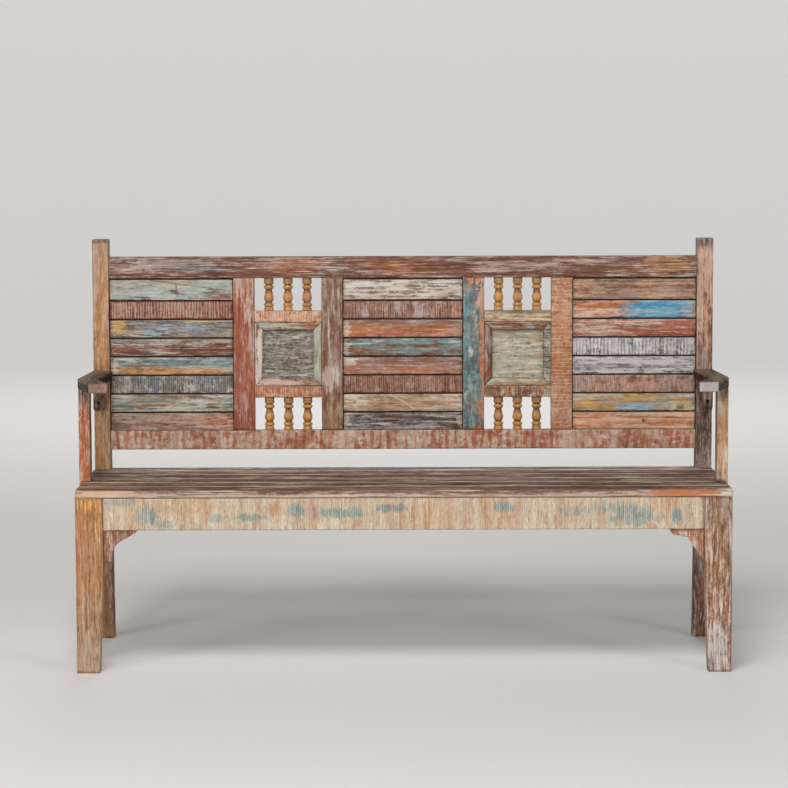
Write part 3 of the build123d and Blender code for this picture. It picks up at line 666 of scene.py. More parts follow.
def make_wear():
    tree = bpy.data.node_groups.new("Wear offset", "GeometryNodeTree")
    for label in ("Wave", "Nick", "Seed"):
        tree.interface.new_socket(label, in_out="INPUT", socket_type=NUMBER)
    tree.interface.new_socket("Offset", in_out="OUTPUT", socket_type=PLACE)
    given = tree.nodes.new("NodeGroupInput").outputs
    result = tree.nodes.new("NodeGroupOutput").inputs
    shift = scaled(tree, (0.71, 0.37, 0.53), given["Seed"])
    here = node(tree, "GeometryNodeInputPosition").outputs[0]
    place = vector_calc(tree, "ADD", here, shift)
    hollow = weigh(tree, *((share, noise(tree, place, (count,) * 3, 1)) for share, count in HOLLOWS))
    hollow = calc(tree, "MULTIPLY", hollow, given["Wave"])
    angle = node(tree, "GeometryNodeInputMeshEdgeAngle").outputs["Unsigned Angle"]
    sharp = calc(tree, "GREATER_THAN", angle, 0.3)
    spread = node(tree, "GeometryNodeFieldOnDomain", {0: sharp}, domain="EDGE", data_type="FLOAT").outputs[0]
    chip = ease(tree, noise(tree, place, (CHIPS,) * 3, 2), 0.52, 0.68)
    nick = calc(tree, "MULTIPLY", calc(tree, "MULTIPLY", chip, ease(tree, spread, 0.0, 0.4)), given["Nick"])
    height = node(tree, "ShaderNodeSeparateXYZ", {0: here}).outputs["Z"]
    lifted = ease(tree, height, 1 * MM, 6 * MM)
    depth = calc(tree, "MULTIPLY", calc(tree, "ADD", hollow, nick), lifted)
    normal = node(tree, "GeometryNodeInputNormal").outputs[0]
    put_out(tree, result, Offset=scaled(tree, normal, calc(tree, "MULTIPLY", depth, -1.0)))
    return tree


WEAR = make_wear()


def wear_down(tree, geometry, given):
    """Move the points of a geometry by the wear group's offset."""
    worn = node(tree, "GeometryNodeGroup", node_tree=WEAR)
    for label in ("Wave", "Nick", "Seed"):
        tree.links.new(given[label], worn.inputs[label])
    return node(tree, "GeometryNodeSetPosition", {"Geometry": geometry, "Offset": worn.outputs[0]}).outputs[0]


def make_worn_timber():
    inputs = {"Geometry": "NodeSocketGeometry", "Wave": NUMBER, "Nick": NUMBER, "Seed": NUMBER,
              "Material": "NodeSocketMaterial"}
    tree, given, result = geometry_tree("Worn timber", inputs)
    finish_tree(tree, wear_down(tree, given["Geometry"], given), given["Material"], result)
    return tree


WORN_TIMBER = make_worn_timber()
print("geometry trees:", WEAR.name, WORN_TIMBER.name)

# %% [markdown]
# ## Solids of a construction node
# The mesh of a construction node is a set of loose triangles, and may hold several solids. A copy is
# merged and cut into its separate solids. Each is then sliced on a grid a few millimetres wide, which
# gives the wear enough points to work on.

# %% Helpers that read a node
GRID = 8 * MM  # spacing of the slices
HOLD = 3 * MM  # extra slices this far inside a face keep it flat
SAME_POINT = 1e-6  # metres


def solids_of(name):
    """The separate solids of a construction node, as meshes sorted from left to right and bottom to top."""
    work = bmesh.new()
    work.from_mesh(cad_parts[name].data)
    bmesh.ops.remove_doubles(work, verts=work.verts, dist=SAME_POINT)
    left, meshes = set(work.verts), []
    while left:
        island, edge = set(), [next(iter(left))]
        while edge:
            vert = edge.pop()
            if vert not in island:
                island.add(vert)
                edge.extend(e.other_vert(vert) for e in vert.link_edges)
        left -= island
        part = work.copy()
        keep = {vert.index for vert in island}
        part.verts.ensure_lookup_table()
        bmesh.ops.delete(part, geom=[v for v in part.verts if v.index not in keep], context="VERTS")
        mesh = bpy.data.meshes.new(name)
        part.to_mesh(mesh)
        part.free()
        meshes.append(mesh)
    work.free()
    # two mouldings of a frame start at the same corner, so the far corner settles their order
    return sorted(meshes, key=lambda mesh: [round(v, 3) for corner in box_of(mesh) for v in corner])


def points_of(mesh):
    """The points of a mesh as an array."""
    flat = np.empty(len(mesh.vertices) * 3)
    mesh.vertices.foreach_get("co", flat)
    return flat.reshape(-1, 3)


def box_of(mesh):
    """Lowest and highest corner of a mesh."""
    points = points_of(mesh)
    return points.min(axis=0), points.max(axis=0)


def slice_up(mesh):
    """Cut a mesh on a regular grid, with two more cuts close to each side."""
    low, high = box_of(mesh)
    work = bmesh.new()
    work.from_mesh(mesh)
    bmesh.ops.remove_doubles(work, verts=work.verts, dist=SAME_POINT)
    bmesh.ops.dissolve_limit(work, angle_limit=0.01, verts=work.verts, edges=work.edges)
    for axis in range(3):
        size = high[axis] - low[axis]
        count = max(2, round(size / GRID))
        cuts = [low[axis] + size * i / count for i in range(1, count)]
        cuts += [low[axis] + HOLD, high[axis] - HOLD]
        normal = [float(axis == i) for i in range(3)]
        for cut in cuts:
            spot = [cut if axis == i else 0.0 for i in range(3)]
            parts = work.verts[:] + work.edges[:] + work.faces[:]
            bmesh.ops.bisect_plane(work, geom=parts, dist=SAME_POINT, plane_co=spot, plane_no=normal)
    work.to_mesh(mesh)
    work.free()


print("grid for the wear:", GRID / MM, "mm")

# %% [markdown]
# ## From a solid to a worn board
# The wear tree runs on a sliced solid, and its result becomes a plain mesh before the modifier is taken
# off again. The board attribute is written last, from the board's own middle, so that the paint fits
# the worn surface. A finished board rides on the bench and stands for its construction node.

# %% Helpers that make a piece
AXES = {"x": 0, "y": 1, "z": 2}
WAVE = 0.5 * MM  # deepest hollow
NICK = 1.2 * MM  # deepest chip in an edge
SHARP = math.radians(50)  # a corner above this angle stays crisp


def set_inputs(modifier, values):
    """Set a modifier's inputs by the identifiers of their sockets."""
    for socket in modifier.node_group.interface.items_tree:
        if socket.in_out == "INPUT" and socket.name in values:
            modifier[socket.identifier] = values[socket.name]


def run_tree(piece, tree, values):
    """Run a geometry tree on a piece and keep its result as a plain mesh."""
    modifier = piece.modifiers.new(tree.name, "NODES")
    modifier.node_group = tree
    set_inputs(modifier, values)
    bpy.context.view_layer.update()
    evaluated = piece.evaluated_get(bpy.context.evaluated_depsgraph_get())
    mesh = bpy.data.meshes.new_from_object(evaluated)
    piece.modifiers.clear()
    piece.data = mesh
    mesh.name = piece.name


def smooth(mesh, angle=SHARP):
    """Shade softly across worn corners and keep true corners."""
    mesh.polygons.foreach_set("use_smooth", [True] * len(mesh.polygons))
    mesh.set_sharp_from_angle(angle=angle)


def write_board(mesh, axes, middle):
    """Store each point's place along, across and through its board, from the board's middle."""
    order = [AXES[letter] for letter in axes]
    places = (points_of(mesh) - np.array(middle))[:, order]
    attribute = mesh.attributes.new("board", "FLOAT_VECTOR", "POINT")
    attribute.data.foreach_set("vector", places.astype(np.float32).ravel())


def new_piece(name, mesh):
    """An object at the origin whose mesh holds its place."""
    piece = bpy.data.objects.new(name, mesh)
    bpy.context.scene.collection.objects.link(piece)
    return piece


def settle(piece, node_name):
    """Let a finished piece ride on the bench and stand for its construction node."""
    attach(piece, "root")
    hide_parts(node_name)


made_boards = []


def worn_board(name, node_name, mesh, axes, recipe, span=None):
    """Wear and paint one solid. A span gives the shown length where tenons run on into a joint."""
    low, high = box_of(mesh)
    if span:
        along = AXES[axes[0]]
        low[along], high[along] = span
    middle = (low + high) / 2
    half = [float((high - low)[AXES[letter]] / 2) for letter in axes]
    seed = len(made_boards) + 1
    material = timber(name, half, seed, **recipe)
    slice_up(mesh)
    piece = new_piece(name, mesh)
    run_tree(piece, WORN_TIMBER, {"Wave": WAVE, "Nick": NICK, "Seed": float(seed), "Material": material})
    write_board(piece.data, axes, middle)
    smooth(piece.data)
    settle(piece, node_name)
    made_boards.append(piece)


print("deepest hollow and nick:", WAVE / MM, "and", NICK / MM, "mm")

# %% [markdown]
# ## Legs, posts and aprons
# The frame of the bench is made of the stoutest timber. The front legs and posts on the left are
# ochre and orange, those on the right are red brown under a whitish film, and all four go dark where
# the mop touches them. The right post also carries a painted shadow of its arm below the arm. The
# apron keeps cream paint, fine saw bars and drips of blue.

# %% Legs, posts and aprons
LEFT_POST_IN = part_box("rear_post_left")[1].x
RIGHT_POST_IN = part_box("rear_post_right")[0].x
LEFT_LEG_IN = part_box("front_leg_left")[1].x
RIGHT_LEG_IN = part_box("front_leg_right")[0].x
APRON_MARKS = [  # paint, along, across, reach along and across, strength
    ("ochre", -0.89, 0.1, 0.05, 1.2, 0.5), ("ochre", -0.72, 0.5, 0.12, 0.7, 0.5),
    ("orange", -0.43, 0.25, 0.03, 0.5, 0.6), ("orange", -0.31, 0.0, 0.02, 0.8, 0.6),
    ("ochre", 0.08, -0.1, 0.10, 1.0, 0.5), ("ochre", 0.30, -0.1, 0.06, 1.2, 0.5),
    ("ochre", 0.55, 0.1, 0.03, 1.0, 0.5), ("ochre", 0.86, 0.3, 0.06, 0.9, 0.5),
    ("teal", -0.93, 0.72, 0.05, 0.25, 0.6), ("teal", -0.85, -0.1, 0.04, 0.6, 0.8),
    ("teal", -0.80, -0.6, 0.04, 0.3, 0.6), ("teal", -0.62, -0.25, 0.02, 0.3, 0.8),
    ("teal", -0.51, -0.2, 0.06, 0.25, 0.75), ("teal", -0.35, 0.2, 0.035, 0.4, 0.85),
    ("teal", -0.20, 0.05, 0.09, 0.3, 0.9), ("teal", -0.04, 0.35, 0.06, 0.25, 0.9),
    ("teal", 0.33, 0.4, 0.05, 0.3, 0.8), ("teal", 0.56, 0.1, 0.05, 0.35, 0.6),
    ("sea", 0.70, 0.3, 0.08, 0.4, 0.7), ("teal", 0.76, -0.2, 0.09, 0.6, 0.8),
    ("teal", 0.91, -0.1, 0.02, 0.5, 0.9),
]
FRAME_RECIPES = {
    "front_leg_left": ("zxy", None, dict(
        wood=("ochre", "tan"),
        coats=[("orange", 0.40, (0.3, 0, 0)), ("honey", 0.06, (0.9, 0, 0)), ("beige", 0.34, (-0.8, 0, 0))],
        spots=[("brick", -0.36, 0.0, 0.05, 1.5, 0.5), ("orange", 0.0, -1.0, 1.2, 0.35, 0.6)],
        lime=("cream", 0.28), grime=("chestnut", 0.36), bare=("orange", 0.4), film=("beige", 0.3))),
    "front_leg_right": ("zxy", None, dict(
        wood=("tan", "chestnut"), coats=[("pink", 0.42), ("lilac", 0.34, (-0.3, 0, 0))],
        spots=[("chestnut", 0.9, 0.0, 0.2, 2.0, 0.5)],
        lime=("chalk", 0.32), grime=("chestnut", 0.28), bare=("brick", 0.5), film=("chalk", 0.3))),
    "rear_post_left": ("zxy", None, dict(
        wood=("ochre", "tan"), coats=[("orange", 0.34), ("beige", 0.30)],
        spots=[("umber", 1.0, 0.0, 0.02, 9.0, 0.85), ("umber", -0.8, 0.0, 0.25, 2.0, 0.5)],
        lime=("cream", 0.2), grime=("chestnut", 0.16), bare=("beige", 0.3), film=("lilac", 0.35))),
    "rear_post_right": ("zxy", None, dict(
        wood=("tan", "chestnut"), coats=[("terracotta", 0.40), ("pink", 0.50, (0.3, 0, 0))],
        # the umber band at 0.09 along is a painted shadow that the arm casts on the post below it
        spots=[("umber", 1.0, 0.0, 0.05, 9.0, 0.85), ("umber", 0.09, 0.0, 0.32, 9.0, 0.95),
               ("umber", -0.7, 0.0, 0.3, 3.0, 0.4)],
        lime=("chalk", 0.28), grime=("chestnut", 0.22), bare=("beige", 0.3), film=("lilac", 0.4))),
    "front_apron": ("xzy", (LEFT_LEG_IN, RIGHT_LEG_IN), dict(
        wood=("oat", "peach"), coats=[("oat", 0.60), ("peach", 0.24), ("cream", 0.40, (0, -0.3, 0))],
        spots=APRON_MARKS, saw=("cream", 0.28, 5), grime=("ochre", 0.20), bare=("cream", 0.4),
        film=("chalk", 0.25), cracks=0.2, stretch=(5.0, 0.14, 1.0))),
    "rear_apron": ("xzy", (LEFT_POST_IN, RIGHT_POST_IN), dict(
        wood=("tan", "taupe"), coats=[("mauve", 0.40), ("grey", 0.30)],
        saw=("beige", 0.35, 9), lime=("cream", 0.3), bare=("beige", 0.4))),
    "side_apron_left": ("yzx", None, dict(
        wood=("ochre", "chestnut"), coats=[("beige", 0.45), ("terracotta", 0.35)],
        saw=("cream", 0.35, 7), lime=("cream", 0.3), bare=("cream", 0.4))),
    "side_apron_right": ("yzx", None, dict(
        wood=("tan", "chestnut"), coats=[("pink", 0.45), ("brick", 0.35)],
        saw=("cream", 0.35, 7), lime=("cream", 0.3), bare=("cream", 0.4))),
}
for name, (axes, span, recipe) in FRAME_RECIPES.items():
    worn_board("worn_" + name, name, solids_of(name)[0], axes, recipe, span)
print("frame boards:", len(FRAME_RECIPES))

# %% [markdown]
# ## Seat, bearers and brackets
# The six seat boards are the darkest wood, rubbed by use, with long white streaks in the grain. A
# painted shade darkens the back edge of each board, at the gap to the next board, and a pale line runs
# near its front edge. The first board keeps white paint on its front edge, which lies at -1 across,
# under a band of maroon, with a peach left end and an orange right end. The brackets differ: the left
# one is hollowed and red brown, the right one pinkish white with red arrises.

# %% Seat, bearers and brackets
SEAT_BOARDS = [name for name in sorted(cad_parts) if name.startswith("seat_board_")]
SEAT_TONES = [("mauve", 0.36), ("tan", 0.40), ("chestnut", 0.45), ("taupe", 0.40), ("tan", 0.36),
              ("chestnut", 0.45)]
FRONT_EDGE = [("chalk", 0.0, -1.0, 9.0, 0.16, 0.7), ("pink", 0.1, -1.0, 9.0, 0.10, 0.5),
              ("maroon", -0.05, -1.0, 1.25, 0.5, 0.95, 1.0, 1.3), ("peach", -0.97, -1.0, 0.16, 0.3, 0.95),
              ("orange", 0.86, -1.0, 0.16, 0.3, 0.9), ("chalk", 0.99, -1.0, 0.03, 0.3, 0.9)]
# Painted shade: umber along the back edge of each seat board stands for the shade in the gap to the next
# board; chalk lightens a line near its front edge.
SEAT_GAP_SHADE_AND_EDGE = [("umber", 0.0, 1.0, 9.0, 0.35, 0.85), ("chalk", 0.0, -0.9, 9.0, 0.2, 0.5)]
for number, name in enumerate(SEAT_BOARDS):
    tone, cover = SEAT_TONES[number % len(SEAT_TONES)]
    recipe = dict(
        wood=("chestnut", "umber"), coats=[(tone, cover), ("tan", 0.30)],
        spots=SEAT_GAP_SHADE_AND_EDGE + (FRONT_EDGE if number == 0 else []), lime=("cream", 0.36),
        grime=("umber", 0.24 if number == 0 else 0.34), bare=("tan", 0.3), film=("beige", 0.15),
        rim=(3.5, 0.0), cracks=0.8, shine=0.4, stretch=(0.30, 0.32, 1.0))
    worn_board("worn_" + name, name, solids_of(name)[0], "xyz", recipe)
for side, mesh in zip(("left", "right"), solids_of("seat_bearers")):
    recipe = dict(wood=("tan", "taupe"), coats=[("grey", 0.3)], lime=("cream", 0.2))
    worn_board("worn_seat_bearer_" + side, "seat_bearers", mesh, "yzx", recipe)
BRACKET_RECIPES = {
    "bracket_left": dict(
        wood=("tan", "chestnut"), coats=[("brick", 0.40), ("pink", 0.40), ("cream", 0.28)],
        lime=("chalk", 0.26), bare=("brick", 0.5)),
    "bracket_right": dict(
        wood=("pink", "terracotta"), coats=[("cream", 0.48), ("chalk", 0.32)],
        lime=("chalk", 0.26), bare=("brick", 0.8), reach=3.2),
}
for name, recipe in BRACKET_RECIPES.items():
    worn_board("worn_" + name, name, solids_of(name)[0], "zxy", recipe)
print("boards so far:", len(made_boards))

# %% [markdown]
# ## Frame of the back
# The rails and stiles are the liveliest boards. The lower rail has red bars across pale wood, the
# third stile is slate and sea blue with orange ends, and the outer stiles are brick and terracotta.

# %% Rails and stiles
STILE_SPAN = (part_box("stile_1")[0].z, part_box("stile_1")[1].z)
BACK_RECIPES = {
    "top_rail": ("xzy", (LEFT_POST_IN, RIGHT_POST_IN), dict(
        wood=("chestnut", "maroon"), coats=[("terracotta", 0.38), ("taupe", 0.40)],
        spots=[("lilac", -0.80, 0.2, 0.16, 0.7, 0.35), ("slate", -0.70, -0.1, 0.12, 0.5, 0.5),
               ("orange", -0.36, 0.1, 0.10, 0.8, 0.5), ("orange", -0.02, 0.0, 0.12, 0.7, 0.35),
               ("ochre", 0.90, 0.2, 0.10, 0.9, 0.5)],
        lime=("chalk", 0.30), grime=("umber", 0.30), bare=("beige", 0.35), film=("chalk", 0.3), cracks=0.8,
        stretch=(0.4, 1.2, 1.0))),
    "lower_rail": ("xzy", (LEFT_POST_IN, RIGHT_POST_IN), dict(
        wood=("pink", "terracotta"), coats=[("beige", 0.55), ("pink", 0.48)],
        spots=[("terracotta", 0.75, 0.0, 0.3, 2.0, 0.4)], saw=("rust", 0.44, 22),
        lime=("chalk", 0.22), bare=("cream", 0.3), film=("chalk", 0.35))),
    "stile_1": ("zxy", STILE_SPAN, dict(
        wood=("terracotta", "brick"), coats=[("orange", 0.38), ("mauve", 0.36), ("pink", 0.32, (0.5, 0, 0))],
        spots=[("pink", 0.85, 0.0, 0.18, 1.6, 0.6), ("brick", -0.75, -0.2, 0.25, 1.2, 0.6)],
        lime=("cream", 0.24), bare=("orange", 0.4), film=("lilac", 0.35))),
    "stile_2": ("zxy", STILE_SPAN, dict(
        wood=("tan", "chestnut"), coats=[("chestnut", 0.60), ("mauve", 0.42)],
        spots=[("chalk", -0.25, -0.1, 0.18, 0.8, 0.5), ("maroon", -0.1, 0.1, 0.05, 0.6, 0.7),
               ("tan", -0.75, -0.2, 0.25, 1.2, 0.5)],
        lime=("chalk", 0.22), grime=("umber", 0.28), bare=("beige", 0.4), film=("chalk", 0.25))),
    "stile_3": ("zxy", STILE_SPAN, dict(
        wood=("slate", "taupe"), coats=[("slate", 1.3), ("teal", 0.52)],
        spots=[("orange", 0.99, 0.0, 0.20, 4.0, 0.9), ("pink", 0.62, 1.1, 0.38, 0.9, 0.9),
               ("orange", 0.05, 1.1, 0.60, 0.60, 0.85), ("terracotta", -0.64, 1.0, 0.14, 0.8, 0.9),
               ("orange", -0.96, -0.7, 0.09, 1.2, 0.9), ("orange", -0.92, 0.6, 0.09, 0.9, 0.9),
               ("cream", 0.02, -0.2, 0.06, 0.2, 0.8), ("cream", -0.45, -0.5, 0.08, 0.15, 0.7)],
        lime=("cream", 0.18), bare=("cream", 0.3), film=("cream", 0.16), cracks=0.3,
        stretch=(1.0, 0.6, 1.0))),
    "stile_4": ("zxy", STILE_SPAN, dict(
        wood=("tan", "terracotta"), coats=[("terracotta", 0.38), ("pink", 0.36)],
        spots=[("peach", 0.45, 0.1, 0.4, 1.2, 0.4), ("orange", -0.05, -0.2, 0.3, 1.2, 0.3),
               ("pink", -0.6, 0.3, 0.25, 1.0, 0.4)],
        saw=("peach", 0.24, 9), bare=("cream", 0.3), film=("beige", 0.4))),
}
for name, (axes, span, recipe) in BACK_RECIPES.items():
    worn_board("worn_" + name, name, solids_of(name)[0], axes, recipe, span)
print("boards so far:", len(made_boards))

# %% [markdown]
# ## Slats
# The slats repeat 24 times, so a Geometry Nodes tree makes them from sizes alone: a face with all its
# corners rounded, and the tongue behind it that passes under the next slat. Each point of a gridded
# box is pulled to the nearest point of a smaller box and pushed out again by the rounding, which
# turns the box into a board with soft edges.

# %% Slat tree
def make_slat_tree():
    inputs = {"Face low": PLACE, "Face high": PLACE, "Tongue low": PLACE, "Tongue high": PLACE,
              "Grid": NUMBER, "Round": NUMBER, "Wave": NUMBER, "Nick": NUMBER, "Seed": NUMBER,
              "Material": "NodeSocketMaterial"}
    tree, given, result = geometry_tree("Ship-lapped slat", inputs)
    parts = []
    for part in ("Face", "Tongue"):
        low, high = given[part + " low"], given[part + " high"]
        size = vector_calc(tree, "SUBTRACT", high, low)
        cells = scaled(tree, size, calc(tree, "DIVIDE", 1.0, given["Grid"]))
        counts = node(tree, "ShaderNodeSeparateXYZ", {0: vector_calc(tree, "ADD", cells, (3, 3, 3))}).outputs
        divided = {"Vertices " + axis: counts[axis] for axis in "XYZ"}
        block = node(tree, "GeometryNodeMeshCube", {"Size": size, **divided}).outputs["Mesh"]
        half = scaled(tree, size, 0.5)
        margin = node(tree, "ShaderNodeCombineXYZ", {i: given["Round"] for i in range(3)}).outputs[0]
        core = vector_calc(tree, "SUBTRACT", half, margin)
        here = node(tree, "GeometryNodeInputPosition").outputs[0]
        opposite = vector_calc(tree, "MULTIPLY", core, (-1, -1, -1))
        inner = vector_calc(tree, "MINIMUM", core, vector_calc(tree, "MAXIMUM", here, opposite))
        out = vector_calc(tree, "NORMALIZE", vector_calc(tree, "SUBTRACT", here, inner))
        rounded = scaled(tree, out, given["Round"])
        middle = scaled(tree, vector_calc(tree, "ADD", low, high), 0.5)
        target = vector_calc(tree, "ADD", vector_calc(tree, "ADD", inner, rounded), middle)
        moved = node(tree, "GeometryNodeSetPosition", {"Geometry": block, "Position": target})
        parts.append(moved.outputs[0])
    joined = node(tree, "GeometryNodeJoinGeometry")
    for part in parts:
        tree.links.new(part, joined.inputs[0])
    finish_tree(tree, wear_down(tree, joined.outputs[0], given), given["Material"], result)
    return tree


SLAT = make_slat_tree()
print("slat tree inputs:", [s.name for s in SLAT.interface.items_tree if s.in_out == "INPUT"])

# %% [markdown]
# Each slat has its own remains of paint. The recipes name them from the top of a panel down. The left
# panel has the most blue in it, and yellow on its third slat.

# %% Recipes of the left panel
SLAT_RECIPES = {}
SLAT_RECIPES["left"] = [
    dict(
        wood=("tan", "taupe"), coats=[("duck_egg", 0.66), ("grey", 0.40, (-0.3, 0.2, 0))],
        spots=[("tan", 0.15, 0.85, 0.4, 0.35, 0.6), ("terracotta", 0.85, -0.8, 0.25, 0.4, 0.6)],
        lines=[("chestnut", -0.34, 0.95, 0.9, -0.05, 2.2), ("chestnut", 0.08, 0.5, 0.10, -0.6, 3.0)],
        lime=("chalk", 0.16), bare=("cream", 0.5)),
    dict(
        wood=("brick", "maroon"), coats=[("mauve", 0.48)], saw=("pink", 0.46, 7.4), bare=("brick", 0.5),
        film=("beige", 0.35)),
    dict(
        wood=("beige", "taupe"), coats=[("grey", 0.36), ("cream", 0.32), ("teal", 0.30)],
        spots=[("straw", -0.86, 0.4, 0.12, 0.7, 0.9), ("straw", 0.5, 0.8, 0.35, 0.35, 0.8),
               ("navy", -0.10, 0.2, 0.5, 0.6, 0.85), ("slate", 0.55, 0.0, 0.45, 0.9, 0.85),
               ("turquoise", -0.32, -0.5, 0.14, 0.4, 0.6), ("sky", -0.12, -0.2, 0.10, 0.3, 0.6),
               ("turquoise", 0.32, 0.1, 0.10, 0.3, 0.6)],
        lime=("chalk", 0.26), grime=("navy", 0.42), bare=("grey", 0.5)),
    dict(
        wood=("chestnut", "maroon"), coats=[("brick", 0.42, (0, -0.2, 0)), ("grey", 0.40, (0, 0.6, 0))],
        spots=[("slate", -0.3, -0.6, 0.3, 0.3, 0.4)], lime=("chalk", 0.30), grime=("umber", 0.30),
        bare=("chestnut", 0.4)),
    dict(
        wood=("ochre", "taupe"), coats=[("teal", 0.52, (0, 0.6, 0)), ("duck_egg", 0.28, (0, 0.4, 0))],
        spots=[("cream", -0.94, 0.1, 0.07, 1.2, 0.7), ("ochre", 0.2, -0.5, 0.7, 0.3, 0.6),
               ("teal", 0.9, 0.2, 0.14, 0.6, 0.7)],
        lime=("cream", 0.2), bare=("cream", 0.4)),
    dict(
        wood=("slate", "navy"), coats=[("grey", 0.42), ("beige", 0.26)],
        spots=[("navy", -0.25, 0.0, 0.45, 0.8, 0.6)], saw=("beige", 0.32, 5), lime=("cream", 0.18),
        bare=("beige", 0.4)),
    dict(
        wood=("beige", "taupe"), coats=[("duck_egg", 0.46), ("pink", 0.30)],
        spots=[("teal", -0.8, -0.3, 0.2, 0.6, 0.5), ("terracotta", -0.2, -0.3, 0.4, 0.2, 0.5),
               ("teal", 0.92, 0.0, 0.14, 0.9, 0.6), ("teal", -0.3, 0.3, 0.4, 0.3, 0.5)],
        lime=("chalk", 0.28), grime=("taupe", 0.26), bare=("cream", 0.4)),
    dict(
        wood=("pink", "chestnut"), coats=[("tan", 0.35), ("mauve", 0.34, (-0.7, 0, 0))],
        spots=[("umber", -0.85, 0.0, 0.2, 1.0, 0.4), ("orange", 0.7, 0.1, 0.3, 0.6, 0.4)],
        lime=("cream", 0.2), bare=("beige", 0.4)),
]
print("left slats:", len(SLAT_RECIPES["left"]))

# %% [markdown]
# The middle panel goes from a white slat at the top through orange and sea blue to almost black at the
# bottom. Its saw marks are finer, and its white slat but one from the bottom has a long scratch.

# %% Recipes of the middle panel
SLAT_RECIPES["middle"] = [
    dict(
        wood=("beige", "mauve"), coats=[("chalk", 0.52), ("lilac", 0.44)],
        spots=[("terracotta", -0.2, -0.7, 0.5, 0.3, 0.45), ("tan", 0.75, -0.3, 0.2, 0.5, 0.4)],
        lime=("chalk", 0.32), bare=("beige", 0.4)),
    dict(
        wood=("chestnut", "maroon"), coats=[("mauve", 0.46), ("terracotta", 0.30)],
        spots=[("terracotta", 0.92, 0.0, 0.12, 1.2, 0.6)], saw=("pink", 0.50, 4.5), bare=("brick", 0.4),
        film=("lilac", 0.4)),
    dict(
        wood=("orange", "terracotta"), coats=[("mauve", 0.34, (0, 0.8, 0)), ("grey", 0.2, (0, 0.6, 0))],
        spots=[("cream", -0.95, 0.0, 0.07, 1.5, 0.6), ("mauve", 0.85, 0.1, 0.15, 0.7, 0.5)],
        lime=("lilac", 0.24), bare=("beige", 0.4)),
    dict(
        wood=("tan", "chestnut"), coats=[("teal", 0.58), ("duck_egg", 0.26, (0, 0.5, 0))],
        spots=[("cream", -0.95, 0.0, 0.06, 1.2, 0.7)], lime=("duck_egg", 0.22), bare=("sea", 0.3)),
    dict(
        wood=("orange", "terracotta"), coats=[("mauve", 0.52, (0, 0.4, 0)), ("tan", 0.30)],
        spots=[("chalk", -0.9, 0.5, 0.12, 0.6, 0.6), ("umber", 0.8, -0.3, 0.15, 0.5, 0.4)],
        lime=("lilac", 0.26), bare=("beige", 0.4)),
    dict(
        wood=("chestnut", "maroon"), coats=[("mauve", 0.40), ("terracotta", 0.28)], saw=("pink", 0.28, 5),
        bare=("mauve", 0.4), film=("pink", 0.4)),
    dict(
        wood=("beige", "tan"), coats=[("cream", 0.42), ("grey", 0.34)],
        spots=[("umber", -0.82, 0.1, 0.03, 0.2, 0.8), ("umber", -0.4, 0.6, 0.3, 0.15, 0.4)],
        lines=[("chalk", -0.22, 0.95, 0.02, 0.1, 2.2), ("chalk", 0.02, 0.1, 0.2, -0.8, 2.2)],
        lime=("chalk", 0.24), bare=("cream", 0.4)),
    dict(
        wood=("chestnut", "umber"), coats=[("slate", 0.55), ("maroon", 0.30)],
        spots=[("cream", -0.95, 0.2, 0.06, 1.0, 0.6), ("cream", 0.95, 0.2, 0.06, 0.9, 0.5)],
        lime=("chalk", 0.38), grime=("soot", 0.18), bare=("beige", 0.4)),
]
print("middle slats:", len(SLAT_RECIPES["middle"]))

# %% [markdown]
# The right panel has the brightest remnant of all, turquoise on an orange slat, then two whitened slats,
# and one with yellow, blue and green over grey.

# %% Recipes of the right panel
SLAT_RECIPES["right"] = [
    dict(
        wood=("pink", "chestnut"), coats=[("tan", 0.34), ("mauve", 0.44)],
        spots=[("beige", -0.6, 0.6, 0.35, 0.35, 0.5)], lime=("beige", 0.2), bare=("beige", 0.4),
        film=("beige", 0.4)),
    dict(
        wood=("orange", "terracotta"), coats=[("peach", 0.42)],
        spots=[("turquoise", 0.40, 0.0, 0.66, 4.0, 0.95), ("duck_egg", 0.45, -0.2, 0.45, 0.5, 0.35),
               ("navy", -0.2, 0.0, 0.05, 1.0, 0.4)],
        lime=("duck_egg", 0.28), grime=("tan", 0.18), bare=("cream", 0.4)),
    dict(
        wood=("terracotta", "brick"), coats=[("beige", 0.36), ("chestnut", 0.30)], lime=("chalk", 0.26),
        bare=("beige", 0.4)),
    dict(
        wood=("slate", "navy"), coats=[("lilac", 0.66), ("chalk", 0.42)], saw=("slate", 0.38, 9),
        lime=("chalk", 0.26), bare=("lilac", 0.4)),
    dict(
        wood=("lilac", "slate"), coats=[("lilac", 0.55), ("duck_egg", 0.35)],
        spots=[("slate", -0.5, -0.3, 0.5, 0.35, 0.5), ("leaf", 0.72, 0.2, 0.06, 0.4, 0.5)],
        lime=("chalk", 0.30), bare=("chalk", 0.4)),
    dict(
        wood=("pink", "chestnut"), coats=[("mauve", 0.46), ("grey", 0.30)], saw=("pink", 0.26, 5),
        bare=("beige", 0.4), film=("lilac", 0.35)),
    dict(
        wood=("straw", "tan"), coats=[("grey", 0.52), ("duck_egg", 0.38)],
        spots=[("sky", 0.05, -0.5, 0.30, 0.5, 0.85), ("straw", -0.75, 0.1, 0.22, 0.8, 0.65),
               ("straw", 0.8, 0.0, 0.16, 0.8, 0.75), ("straw", 0.1, 0.6, 0.3, 0.3, 0.55),
               ("leaf", 0.76, -0.5, 0.06, 0.4, 0.9)],
        lime=("chalk", 0.28), grime=("slate", 0.22), bare=("cream", 0.4)),
    dict(
        wood=("peach", "orange"), coats=[("tan", 0.30), ("pink", 0.34)],
        spots=[("umber", 0.16, 0.0, 0.03, 0.25, 0.8)], lime=("cream", 0.2), bare=("beige", 0.4)),
]
print("slat recipes:", sum(len(recipes) for recipes in SLAT_RECIPES.values()))

